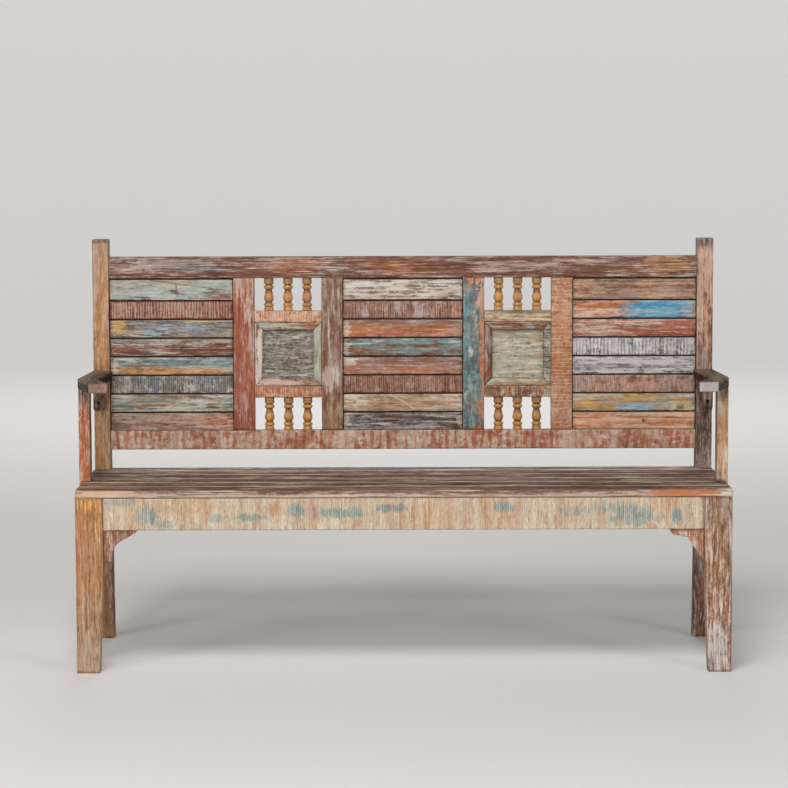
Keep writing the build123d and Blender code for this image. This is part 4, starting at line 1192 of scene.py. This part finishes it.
# %% [markdown]
# The face and the tongue of a slat are read from the construction model: the tongue is the back half
# of the slat and spans its whole box, the face is the front half and stops short at the ends.

# %% Slats
SLAT_GRID = 4 * MM
SLAT_ROUND = 1.8 * MM


def slat_boxes(name):
    """Lowest and highest corners of a slat's face and of its tongue."""
    points = points_of(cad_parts[name].data)
    front, back = points[:, 1].min(), points[:, 1].max()
    step = (front + back) / 2
    face = points[points[:, 1] < step - MM]
    low, high = face.min(axis=0), face.max(axis=0)
    high[1] = step
    tongue = points[points[:, 1] > back - MM]
    tongue_low, tongue_high = tongue.min(axis=0), tongue.max(axis=0)
    tongue_low[1] = step
    return low, high, tongue_low, tongue_high


for panel, recipes in SLAT_RECIPES.items():
    for number, recipe in enumerate(recipes, start=1):
        name = f"slat_{panel}_{number}"
        low, high, tongue_low, tongue_high = slat_boxes(name)
        seed = len(made_boards) + 1
        half = [float(v) for v in ((high - low) / 2)[[0, 2, 1]]]
        # how far behind the face the painted gap shade starts and ends, in metres
        shaded_gap = (half[2], half[2] + float(tongue_high[1] - tongue_low[1]))
        material = timber("worn_" + name, half, seed, shaded_gap=shaded_gap, **recipe)
        piece = new_piece("worn_" + name, bpy.data.meshes.new(name))
        run_tree(piece, SLAT, {
            "Face low": low.tolist(), "Face high": high.tolist(), "Tongue low": tongue_low.tolist(),
            "Tongue high": tongue_high.tolist(), "Grid": SLAT_GRID, "Round": SLAT_ROUND, "Wave": WAVE,
            "Nick": NICK, "Seed": float(seed), "Material": material})
        write_board(piece.data, "xzy", (low + high) / 2)
        smooth(piece.data)
        settle(piece, name)
        made_boards.append(piece)
print("boards so far:", len(made_boards))

# %% [markdown]
# ## Cross rails, panels and mouldings
# The two columns frame small panels with mitred mouldings. One node holds several solids here, so
# each solid becomes a piece with its own paint. A moulding's grain runs along its longer side.

# %% Columns
CROSS_RAIL_RECIPES = [  # left lower, left upper, right lower, right upper
    dict(wood=("peach", "terracotta"), coats=[("pink", 0.45)], saw=("rust", 0.40, 6)),
    dict(wood=("peach", "orange"), coats=[("terracotta", 0.30)], saw=("cream", 0.36, 7)),
    dict(wood=("tan", "chestnut"), coats=[("beige", 0.40)], saw=("umber", 0.28, 6)),
    dict(wood=("cream", "tan"), coats=[("cream", 0.45)],
         spots=[("leaf", 0.0, 0.9, 0.7, 0.5, 0.7), ("chestnut", 0.97, -0.2, 0.12, 0.9, 0.6),
                ("tan", -0.97, 0.0, 0.1, 1.0, 0.5)]),
]
for number, mesh in enumerate(solids_of("cross_rails")):
    recipe = dict(CROSS_RAIL_RECIPES[number], lime=("cream", 0.24), bare=("cream", 0.4))
    worn_board(f"worn_cross_rail_{number + 1}", "cross_rails", mesh, "xzy", recipe)
PANEL_RECIPES = {
    "panel_left": dict(
        wood=("grey", "taupe"), coats=[("navy", 0.44), ("sage", 0.36)],
        spots=[("lilac", -0.8, 0.0, 0.1, 1.5, 0.6), ("lilac", 0.8, 0.0, 0.1, 1.5, 0.6)],
        lime=("lilac", 0.38), grime=("soot", 0.34), film=("cream", 0.3), cracks=0.9,
        stretch=(1.9, 1.1, 1.0)),
    "panel_right": dict(
        wood=("beige", "terracotta"), coats=[("sage", 0.70), ("pink", 0.36)],
        spots=[("mauve", -0.2, 0.72, 0.5, 0.18, 0.6), ("tan", 0.5, 0.45, 0.4, 0.12, 0.5)],
        lime=("chalk", 0.40), grime=("tan", 0.32), film=("cream", 0.3), cracks=0.7,
        stretch=(0.8, 0.7, 1.0)),
}
for name, recipe in PANEL_RECIPES.items():
    worn_board("worn_" + name, name, solids_of(name)[0], "xzy", recipe)
MOULDING_RECIPES = {
    "left_left": dict(wood=("ochre", "chestnut"), coats=[("chalk", 0.60), ("cream", 0.35)]),
    "left_top": dict(wood=("tan", "chestnut"),
                     coats=[("sage", 0.46, (-0.3, 0, 0)), ("orange", 0.30, (0.6, 0, 0))]),
    "left_right": dict(wood=("tan", "chestnut"), coats=[("sage", 0.65), ("leaf", 0.2)]),
    "left_bottom": dict(wood=("beige", "chestnut"), coats=[("pink", 0.45), ("taupe", 0.3)]),
    "right_left": dict(wood=("chestnut", "maroon"), coats=[("mauve", 0.45)], bare=("orange", 0.5)),
    "right_top": dict(wood=("tan", "chestnut"), coats=[("taupe", 0.4)],
                      spots=[("duck_egg", 0.35, -0.2, 0.25, 0.8, 0.7)]),
    "right_right": dict(wood=("taupe", "umber"), coats=[("grey", 0.3)], saw=("chalk", 0.34, 4)),
    "right_bottom": dict(wood=("beige", "tan"), coats=[("sage", 0.55), ("cream", 0.35)]),
}


def side_of_frame(mesh):
    """Which side of its little frame a moulding is, as column and side."""
    low, high = box_of(mesh)
    middle, size = (low + high) / 2, high - low
    column = "left" if middle[0] < 0 else "right"
    panel_low, panel_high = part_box("panel_" + column)
    centre = (panel_low + panel_high) / 2
    if size[0] > size[2]:
        return column + ("_top" if middle[2] > centre.z else "_bottom")
    return column + ("_right" if middle[0] > centre.x else "_left")


for mesh in solids_of("mouldings"):
    side = side_of_frame(mesh)
    recipe = dict(lime=("chalk", 0.24), bare=("beige", 0.3)) | MOULDING_RECIPES[side]
    axes = "xzy" if side.endswith(("top", "bottom")) else "zxy"
    worn_board("worn_moulding_" + side, "mouldings", mesh, axes, recipe)
print("boards so far:", len(made_boards))

# %% [markdown]
# ## Arms
# The arms are dark taupe on top, and a painted shade makes their sides almost black. Their front
# ends keep a pale paint. Their supports are orange and honey brown, with a painted shadow of the arm
# at their top, and the cleats under the rear ends are darker than the posts.

# %% Arms, supports and cleats
# Painted shade: the arms' sides and underside, all below the top face, go near black as if in shade.
PAINTED_SIDE_SHADE = [  # all that lies below the top face
    ("soot", 0.0, 0.0, 9.0, 9.0, 0.9, -1.0, 1.3), ("soot", 0.0, 0.0, 9.0, 9.0, 0.9, 0.1, 0.55)]
ARM = dict(wood=("taupe", "umber"), lime=("beige", 0.16), bare=("umber", 0.4), film=("beige", 0.15),
           shine=0.1, rim=(3.5, 0.1))
ARM_RECIPES = {
    "arm_left": ("yxz", dict(
        ARM, coats=[("taupe", 0.60), ("tan", 0.24)], spots=PAINTED_SIDE_SHADE + [
            ("pink", -1.0, 0.0, 0.03, 9.0, 0.95), ("mauve", -1.0, 0.2, 0.03, 0.9, 0.7)])),
    "arm_right": ("yxz", dict(
        ARM, coats=[("taupe", 0.60), ("mauve", 0.24)], spots=PAINTED_SIDE_SHADE + [
            ("lilac", -1.0, 0.0, 0.03, 9.0, 0.95)])),
    # the soot at the top end of each support is a painted shadow of the arm above it
    "arm_support_left": ("zxy", dict(
        wood=("orange", "rust"), coats=[("ochre", 0.36), ("beige", 0.42)],
        spots=[("soot", 1.0, 0.0, 0.28, 9.0, 0.7)], lime=("chalk", 0.28), bare=("cream", 0.5))),
    "arm_support_right": ("zxy", dict(
        wood=("peach", "ochre"), coats=[("cream", 0.46), ("peach", 0.44)],
        spots=[("soot", 1.0, 0.0, 0.28, 9.0, 0.7), ("umber", -0.35, -0.5, 0.1, 0.4, 0.6)],
        lime=("chalk", 0.24), bare=("cream", 0.5))),
}
for name, (axes, recipe) in ARM_RECIPES.items():
    worn_board("worn_" + name, name, solids_of(name)[0], axes, recipe)
CLEAT_WOODS = {"left": ("taupe", "umber"), "right": ("chestnut", "umber")}
for (side, wood), mesh in zip(CLEAT_WOODS.items(), solids_of("arm_cleats")):
    recipe = dict(wood=wood, coats=[("tan", 0.35)], lime=("beige", 0.2), bare=("tan", 0.4))
    worn_board("worn_arm_cleat_" + side, "arm_cleats", mesh, "zxy", recipe)
print("boards in all:", len(made_boards))

# %% [markdown]
# ## Turned balusters
# Twelve small balusters stand above and below the framed panels. A turner works along a straight rest
# and lets the radius follow a pattern, and the Geometry Nodes tree does the same: a straight line is
# divided finely, a curve gives the radius at each height, and a circle is swept along it. The
# finished baluster is then set on twelve points that are read from the construction model, each
# turned by a random amount so that their grain differs.

# %% Baluster tree
BALUSTER_SIDES = 20
BALUSTER_STEPS = 134
WIDEST = 13.0  # millimetres, the radius at the top of the pattern
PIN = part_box("lower_rail")[1].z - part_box("balusters")[0].z
PATTERN = [  # height above the foot and radius in millimetres, and whether the tool left a crisp corner
    (-8, 5.0, True), (-0.5, 5.0, True), (0.6, 12.4, True), (9.0, 11.5, True), (10.2, 10.2, False),
    (12.0, 12.2, False), (15.5, 12.9, False), (18.6, 12.0, False), (20.8, 8.9, False), (24, 9.9, False),
    (33, 12.6, False), (42, 10.9, False), (54.5, 7.9, True), (57.5, 11.4, False), (60.9, 12.7, False),
    (64.3, 11.4, False), (67.0, 7.9, True), (70.5, 12.3, False), (72.5, 12.75, True), (75.0, 12.75, True),
    (76.0, 11.6, True), (77.0, 12.75, True), (79.2, 12.75, True), (80.2, 11.6, True), (81.2, 12.75, True),
    (83.6, 12.75, True), (85.0, 5.0, True), (92.5, 5.0, True),
]


def set_pattern(curve_node):
    """Give a Float Curve node the baluster's pattern, as shares of its length and of the widest radius."""
    low, high = PATTERN[0][0], PATTERN[-1][0]
    curve = curve_node.mapping.curves[0]
    while len(curve.points) < len(PATTERN):
        curve.points.new(0.5, 0.5)
    for point, (height, radius, crisp) in zip(curve.points, PATTERN):
        point.location = ((height - low) / (high - low), radius / WIDEST)
        point.handle_type = "VECTOR" if crisp else "AUTO_CLAMPED"
    curve_node.mapping.update()


def make_baluster_tree():
    inputs = {"Geometry": "NodeSocketGeometry", "Low": NUMBER, "High": NUMBER, "Widest": NUMBER,
              "Steps": "NodeSocketInt", "Sides": "NodeSocketInt", "Seed": "NodeSocketInt",
              "Material": "NodeSocketMaterial"}
    tree, given, result = geometry_tree("Turned baluster", inputs)
    ends = {key: node(tree, "ShaderNodeCombineXYZ", {"Z": given[label]}).outputs[0]
            for key, label in (("Start", "Low"), ("End", "High"))}
    axis = node(tree, "GeometryNodeCurvePrimitiveLine", ends).outputs[0]
    axis = node(tree, "GeometryNodeResampleCurve", {"Curve": axis, "Count": given["Steps"]}).outputs[0]
    share = node(tree, "GeometryNodeSplineParameter").outputs["Factor"]
    pattern = node(tree, "ShaderNodeFloatCurve", {"Value": share})
    set_pattern(pattern)
    circle = node(tree, "GeometryNodeCurvePrimitiveCircle",
                  {"Resolution": given["Sides"], "Radius": given["Widest"]}).outputs[0]
    sweep = {"Curve": axis, "Profile Curve": circle, "Scale": pattern.outputs[0], "Fill Caps": True}
    turned = node(tree, "GeometryNodeCurveToMesh", sweep).outputs[0]
    here = node(tree, "GeometryNodeInputPosition").outputs[0]
    place = node(tree, "ShaderNodeSeparateXYZ", {0: here}).outputs
    board = node(tree, "ShaderNodeCombineXYZ", {"X": place["Z"], "Y": place["X"], "Z": place["Y"]}).outputs[0]
    turned = node(tree, "GeometryNodeStoreNamedAttribute",
                  {"Geometry": turned, "Name": "board", "Value": board}, data_type="FLOAT_VECTOR").outputs[0]
    chance = node(tree, "FunctionNodeRandomValue", {"Seed": given["Seed"]}, data_type="FLOAT").outputs[1]
    angle = node(tree, "ShaderNodeCombineXYZ", {"Z": calc(tree, "MULTIPLY", chance, math.tau)}).outputs[0]
    spin = node(tree, "FunctionNodeEulerToRotation", {0: angle}).outputs[0]
    row = node(tree, "GeometryNodeInstanceOnPoints",
               {"Points": given["Geometry"], "Instance": turned, "Rotation": spin}).outputs[0]
    row = node(tree, "GeometryNodeStoreNamedAttribute", {"Geometry": row, "Name": "tone", "Value": chance},
               data_type="FLOAT", domain="INSTANCE").outputs[0]
    finish_tree(tree, row, given["Material"], result)
    return tree


BALUSTER = make_baluster_tree()
print("points on the turning pattern:", len(PATTERN))

# %% [markdown]
# The balusters are varnished in a honey tone. The colour turns darker in the grooves, where the
# radius is small, and olive brown on the caps. The tone attribute shifts grain and depth of colour
# from one baluster to the next.

# %% Balusters
CAP = 70 * MM, 77 * MM  # heights between which the varnish turns olive brown
GROOVE = 8.4 * MM, 11.4 * MM  # radii between which it clears
TURNED_SHARP = math.radians(40)


def make_honey_varnish():
    material, tree = blank_material("honey_varnish")
    board = node(tree, "ShaderNodeAttribute", attribute_name="board").outputs["Vector"]
    tone = node(tree, "ShaderNodeAttribute", attribute_name="tone").outputs["Fac"]
    field = place_group(tree, BOARD_NOISE, Board=board, Seed=calc(tree, "MULTIPLY", tone, 40.0))
    colour = lay_over(tree, ease(tree, field["Grain"], 0.38, 0.62), paint("tan"), paint("honey"))
    colour = lay_over(tree, calc(tree, "MULTIPLY", tone, 0.35), colour, paint("orange"))
    height = node(tree, "ShaderNodeSeparateXYZ", {0: board}).outputs["X"]
    ragged = calc(tree, "MULTIPLY_ADD", field["Flake"], 6 * MM, height)
    colour = lay_over(tree, calc(tree, "MULTIPLY", ease(tree, ragged, *CAP), 0.4), colour, paint("taupe"))
    round_off = vector_calc(tree, "LENGTH", vector_calc(tree, "MULTIPLY", board, (0, 1, 1)))
    groove = calc(tree, "SUBTRACT", 1.0, ease(tree, round_off, *GROOVE))
    colour = lay_over(tree, calc(tree, "MULTIPLY", groove, 0.8), colour, paint("umber"))
    worn = ease(tree, weigh(tree, (0.6, field["Flake"]), (0.5, field["Streak"])), 0.60, 0.70)
    colour = lay_over(tree, calc(tree, "MULTIPLY", worn, 0.4), colour, paint("cream"))
    relief = place_group(tree, RELIEF, field)
    shade(tree, colour, calc(tree, "SUBTRACT", relief["Roughness"], 0.28), relief["Height"], 0.6, 0.3)
    return material


def points_piece(name, places, **attributes):
    """A piece that is only points, with one value for each point in every attribute."""
    mesh = bpy.data.meshes.new(name)
    mesh.from_pydata(places, [], [])
    for label, values in attributes.items():
        if np.ndim(values) == 2:
            mesh.attributes.new(label, "FLOAT_VECTOR", "POINT").data.foreach_set("vector", np.ravel(values))
        else:
            mesh.attributes.new(label, "FLOAT", "POINT").data.foreach_set("value", values)
    return new_piece(name, mesh)


feet = []
for mesh in solids_of("balusters"):
    low, high = box_of(mesh)
    feet.append(((low[0] + high[0]) / 2, (low[1] + high[1]) / 2, low[2] + PIN))
balusters = points_piece("turned_balusters", feet)
run_tree(balusters, BALUSTER, {
    "Low": PATTERN[0][0] * MM, "High": PATTERN[-1][0] * MM, "Widest": WIDEST * MM, "Steps": BALUSTER_STEPS,
    "Sides": BALUSTER_SIDES, "Seed": 5, "Material": make_honey_varnish()})
smooth(balusters.data, TURNED_SHARP)
settle(balusters, "balusters")
print("balusters:", len(feet), "with", len(balusters.data.polygons), "faces")

# %% [markdown]
# ## Pegs, brads and screws
# All the fastenings have the same plan: a shank, and a head that faces the way it was driven from.
# One tree makes all three kinds. It reads two attributes of each point, aim and reach, sets a shank
# of that length on it and a head on top, and cuts a cross into the heads of the screws.

# %% Fastening tree
def make_fastening_tree():
    inputs = {"Geometry": "NodeSocketGeometry", "Sides": "NodeSocketInt", "Shank": NUMBER, "Head": NUMBER,
              "Head depth": NUMBER, "Slot": NUMBER, "Crossed": "NodeSocketBool",
              "Material": "NodeSocketMaterial"}
    tree, given, result = geometry_tree("Driven fastening", inputs)
    aim = node(tree, "GeometryNodeInputNamedAttribute", {"Name": "aim"}, data_type="FLOAT_VECTOR").outputs[0]
    reach = node(tree, "GeometryNodeInputNamedAttribute", {"Name": "reach"}, data_type="FLOAT").outputs[0]
    depth = given["Head depth"]
    down = scaled(tree, aim, calc(tree, "MULTIPLY", depth, -1.0))
    seats = node(tree, "GeometryNodeSetPosition", {"Geometry": given["Geometry"], "Offset": down}).outputs[0]
    facing = node(tree, "FunctionNodeAlignRotationToVector", {"Vector": aim}, axis="Z").outputs[0]
    square = (0, 0, math.pi / 4)
    shank = node(tree, "GeometryNodeMeshCylinder",
                 {"Vertices": given["Sides"], "Radius": given["Shank"], "Depth": 1.0}).outputs["Mesh"]
    shank = node(tree, "GeometryNodeTransform",
                 {"Geometry": shank, "Translation": (0, 0, -0.5), "Rotation": square}).outputs[0]
    length = calc(tree, "SUBTRACT", reach, depth)
    long = node(tree, "ShaderNodeCombineXYZ", {0: 1.0, 1: 1.0, 2: length}).outputs[0]
    shanks = node(tree, "GeometryNodeInstanceOnPoints",
                  {"Points": seats, "Instance": shank, "Rotation": facing, "Scale": long}).outputs[0]
    head = node(tree, "GeometryNodeMeshCone",
                {"Vertices": given["Sides"], "Radius Top": given["Head"], "Radius Bottom": given["Shank"],
                 "Depth": depth}).outputs["Mesh"]
    head = node(tree, "GeometryNodeTransform", {"Geometry": head, "Rotation": square}).outputs[0]
    arm = calc(tree, "MULTIPLY", given["Head"], 1.3)
    high = node(tree, "ShaderNodeCombineXYZ", {2: depth}).outputs[0]
    cross = node(tree, "GeometryNodeJoinGeometry")
    for first, second in ((arm, given["Slot"]), (given["Slot"], arm)):
        size = node(tree, "ShaderNodeCombineXYZ", {0: first, 1: second, 2: depth}).outputs[0]
        bar = node(tree, "GeometryNodeMeshCube", {"Size": size}).outputs["Mesh"]
        tree.links.new(node(tree, "GeometryNodeTransform", {"Geometry": bar, "Translation": high}).outputs[0],
                       cross.inputs[0])
    cut = node(tree, "GeometryNodeMeshBoolean",
               {"Mesh 1": head, "Mesh 2": cross.outputs[0], "Self Intersection": True},
               solver="EXACT").outputs["Mesh"]
    choice = node(tree, "GeometryNodeSwitch", {"Switch": given["Crossed"], "False": head, "True": cut},
                  input_type="GEOMETRY").outputs[0]
    heads = node(tree, "GeometryNodeInstanceOnPoints",
                 {"Points": seats, "Instance": choice, "Rotation": facing}).outputs[0]
    both = node(tree, "GeometryNodeJoinGeometry")
    for part in (shanks, heads):
        tree.links.new(part, both.inputs[0])
    finish_tree(tree, both.outputs[0], given["Material"], result)
    return tree


FASTENING = make_fastening_tree()
print("fastening tree:", FASTENING.name)

# %% [markdown]
# The pegs are end grain of a pale hardwood and were driven from the back. The brads and screws are
# iron that has rusted and been rubbed bright again in places. Both finishes read Object coordinates,
# since they have no board.

# %% Pegs, brads and screws
def make_driven(name, dark, light, metal, base_roughness, scale):
    """A mottled finish for small fastenings, as iron or as end grain."""
    material, tree = blank_material(name)
    place = node(tree, "ShaderNodeTexCoord").outputs["Object"]
    mottle = noise(tree, place, (scale,) * 3, 4, 0.7)
    speck = noise(tree, place, (scale * 5,) * 3, 2)
    mask = ease(tree, weigh(tree, (0.7, mottle), (0.3, speck)), 0.40, 0.62)
    colour = lay_over(tree, mask, paint(dark), paint(light))
    roughness = calc(tree, "MULTIPLY_ADD", speck, 0.35, base_roughness)
    shade(tree, colour, roughness, mottle, 0.4, 0.5, {"Metallic": metal})
    return material


RUSTED_IRON = make_driven("rusted_iron", "soot", "umber", 0.6, 0.38, 900)
END_GRAIN = make_driven("peg_end_grain", "chestnut", "tan", 0.0, 0.55, 700)
FASTENINGS = {  # node: piece, sides, head over half width, head depth in mm, crossed, material
    "seat_brads": ("driven_brads", 4, 0.88, 0.6, False, RUSTED_IRON),
    "screws": ("driven_screws", 16, 1.0, 3.0, True, RUSTED_IRON),
    "tenon_pegs": ("driven_pegs", 12, 0.80, 1.2, False, END_GRAIN),
}
SCREW_SHANK = 0.5  # of the head's radius
SCREW_SLOT = 1.1 * MM
HEAD_SHARP = math.radians(30)


def driven_from(node_name, axis, middle):
    """The end of its axis that a fastening was driven from, which is the back for pegs."""
    if axis == AXES["y"]:
        return 1.0 if node_name == "tenon_pegs" else -1.0
    return 1.0 if axis == AXES["z"] or middle[0] > 0 else -1.0


for node_name, (name, sides, head_share, head_depth, crossed, material) in FASTENINGS.items():
    heads, aims, reaches = [], [], []
    for mesh in solids_of(node_name):
        low, high = box_of(mesh)
        size, middle = high - low, (low + high) / 2
        axis = int(np.argmax(size))
        aim = np.zeros(3)
        aim[axis] = driven_from(node_name, axis, middle)
        heads.append((middle + aim * size / 2).tolist())
        aims.append(aim)
        reaches.append(float(size[axis]))
        half_width = float(np.median(size)) / 2
    shank = half_width * (SCREW_SHANK if crossed else math.sqrt(2) if sides == 4 else 1.0)
    piece = points_piece(name, heads, aim=np.array(aims, dtype=np.float32), reach=reaches)
    run_tree(piece, FASTENING, {
        "Sides": sides, "Shank": shank, "Head": (half_width if crossed else shank) * head_share,
        "Head depth": head_depth * MM, "Slot": SCREW_SLOT, "Crossed": crossed, "Material": material})
    smooth(piece.data, HEAD_SHARP)
    settle(piece, node_name)
    print(name + ":", len(heads), "with", len(piece.data.polygons), "faces")

# %% [markdown]
# ## Stage, light and camera
# The floor is a wide pale dish whose rim rises far behind the bench, so that no horizon shows. The
# rim glows a little, because the lamps are too far away to light it. A large lamp hangs high in
# front, which lets each arm shade the post below it, two softboxes at the left and right fill in, and
# a third one lights the back. The camera stands six and a half metres away and looks slightly down,
# which gives the flat perspective of the photograph.

# %% Stage, light and camera
DISH = [(0, 0), (9, 0), (12, 0.35), (14, 1.4), (15, 3.2), (15.3, 6.5)]  # radius and height in metres
DISH_SIDES = 96
FLOOR_COLOUR = (0.74, 0.73, 0.72, 1)
FLOOR_ROUGHNESS = 0.8
RIM_GLOW = 0.46
GLOW_FROM, GLOW_TO = 1.0, 9.0  # metres from the middle of the floor


def make_floor():
    work = bmesh.new()
    rim = [work.verts.new((radius, 0, height)) for radius, height in DISH]
    edges = [work.edges.new(pair) for pair in zip(rim, rim[1:])]
    bmesh.ops.spin(work, geom=rim + edges, cent=(0, 0, 0), axis=(0, 0, 1), angle=math.tau, steps=DISH_SIDES)
    bmesh.ops.remove_doubles(work, verts=work.verts, dist=1e-4)
    bmesh.ops.recalc_face_normals(work, faces=work.faces)
    mesh = bpy.data.meshes.new("floor")
    work.to_mesh(mesh)
    work.free()
    if mesh.polygons[0].normal.z < 0:
        mesh.flip_normals()
    smooth(mesh)
    material = bpy.data.materials.new("pale_floor")
    material.use_nodes = True
    tree = material.node_tree
    shader = tree.nodes["Principled BSDF"]
    shader.inputs["Base Color"].default_value = FLOOR_COLOUR
    shader.inputs["Roughness"].default_value = FLOOR_ROUGHNESS
    shader.inputs["Emission Color"].default_value = FLOOR_COLOUR
    place = node(tree, "ShaderNodeTexCoord").outputs["Object"]
    away = vector_calc(tree, "LENGTH", vector_calc(tree, "MULTIPLY", place, (1, 1, 0)))
    glow = calc(tree, "MULTIPLY", ease(tree, away, GLOW_FROM, GLOW_TO), RIM_GLOW)
    tree.links.new(glow, shader.inputs["Emission Strength"])
    mesh.materials.append(material)
    new_piece("floor", mesh)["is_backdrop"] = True


LAMPS = {  # place in metres, side in metres, power in watts
    "high_lamp": ((-0.8, -4.2, 5.4), 2.2, 245),
    "left_softbox": ((-4.2, -4.8, 2.8), 1.8, 88),
    "right_softbox": ((4.2, -4.8, 2.8), 1.8, 71),
    "back_softbox": ((0.0, 6.4, 4.2), 2.6, 110),
}
LAMP_COLOUR = (1.0, 0.98, 0.96)
LAMP_TARGET = Vector((0, 0, 0.55))
SKY_COLOUR = (0.95, 0.96, 0.97, 1)
SKY_STRENGTH = 0.17


def make_softbox(name, place, size, power):
    data = bpy.data.lights.new(name, "AREA")
    data.size, data.energy, data.color = size, power, LAMP_COLOUR
    lamp = bpy.data.objects.new(name, data)
    lamp.location = place
    lamp.rotation_euler = (LAMP_TARGET - Vector(place)).to_track_quat("-Z", "Y").to_euler()
    lamp.visible_camera = False
    bpy.context.scene.collection.objects.link(lamp)


make_floor()
for name, (place, size, power) in LAMPS.items():
    make_softbox(name, place, size, power)
world = bpy.data.worlds.new("studio")
bpy.context.scene.world = world
world.use_nodes = True
sky = world.node_tree.nodes["Background"].inputs
sky["Color"].default_value = SKY_COLOUR
sky["Strength"].default_value = SKY_STRENGTH
bpy.context.scene.view_settings.view_transform = "Standard"

CAMERA_PLACE = (-0.0216, -6.513, 1.281)
CAMERA_PITCH = math.radians(5.44)
CAMERA_ROLL = math.radians(0.15)
CAMERA_LENS = 118.7
SENSOR_WIDTH = 36
camera_data = bpy.data.cameras.new("camera")
camera_data.lens = CAMERA_LENS
camera_data.sensor_width = SENSOR_WIDTH
camera = bpy.data.objects.new("camera", camera_data)
camera.location = CAMERA_PLACE
camera.rotation_euler = (math.pi / 2 - CAMERA_PITCH, CAMERA_ROLL, 0)
bpy.context.scene.collection.objects.link(camera)
bpy.context.scene.camera = camera
print("camera lens:", camera_data.lens, "mm")

# %% Sizes
low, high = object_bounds()
print("visual box in metres:", [round(v, 3) for v in high - low])
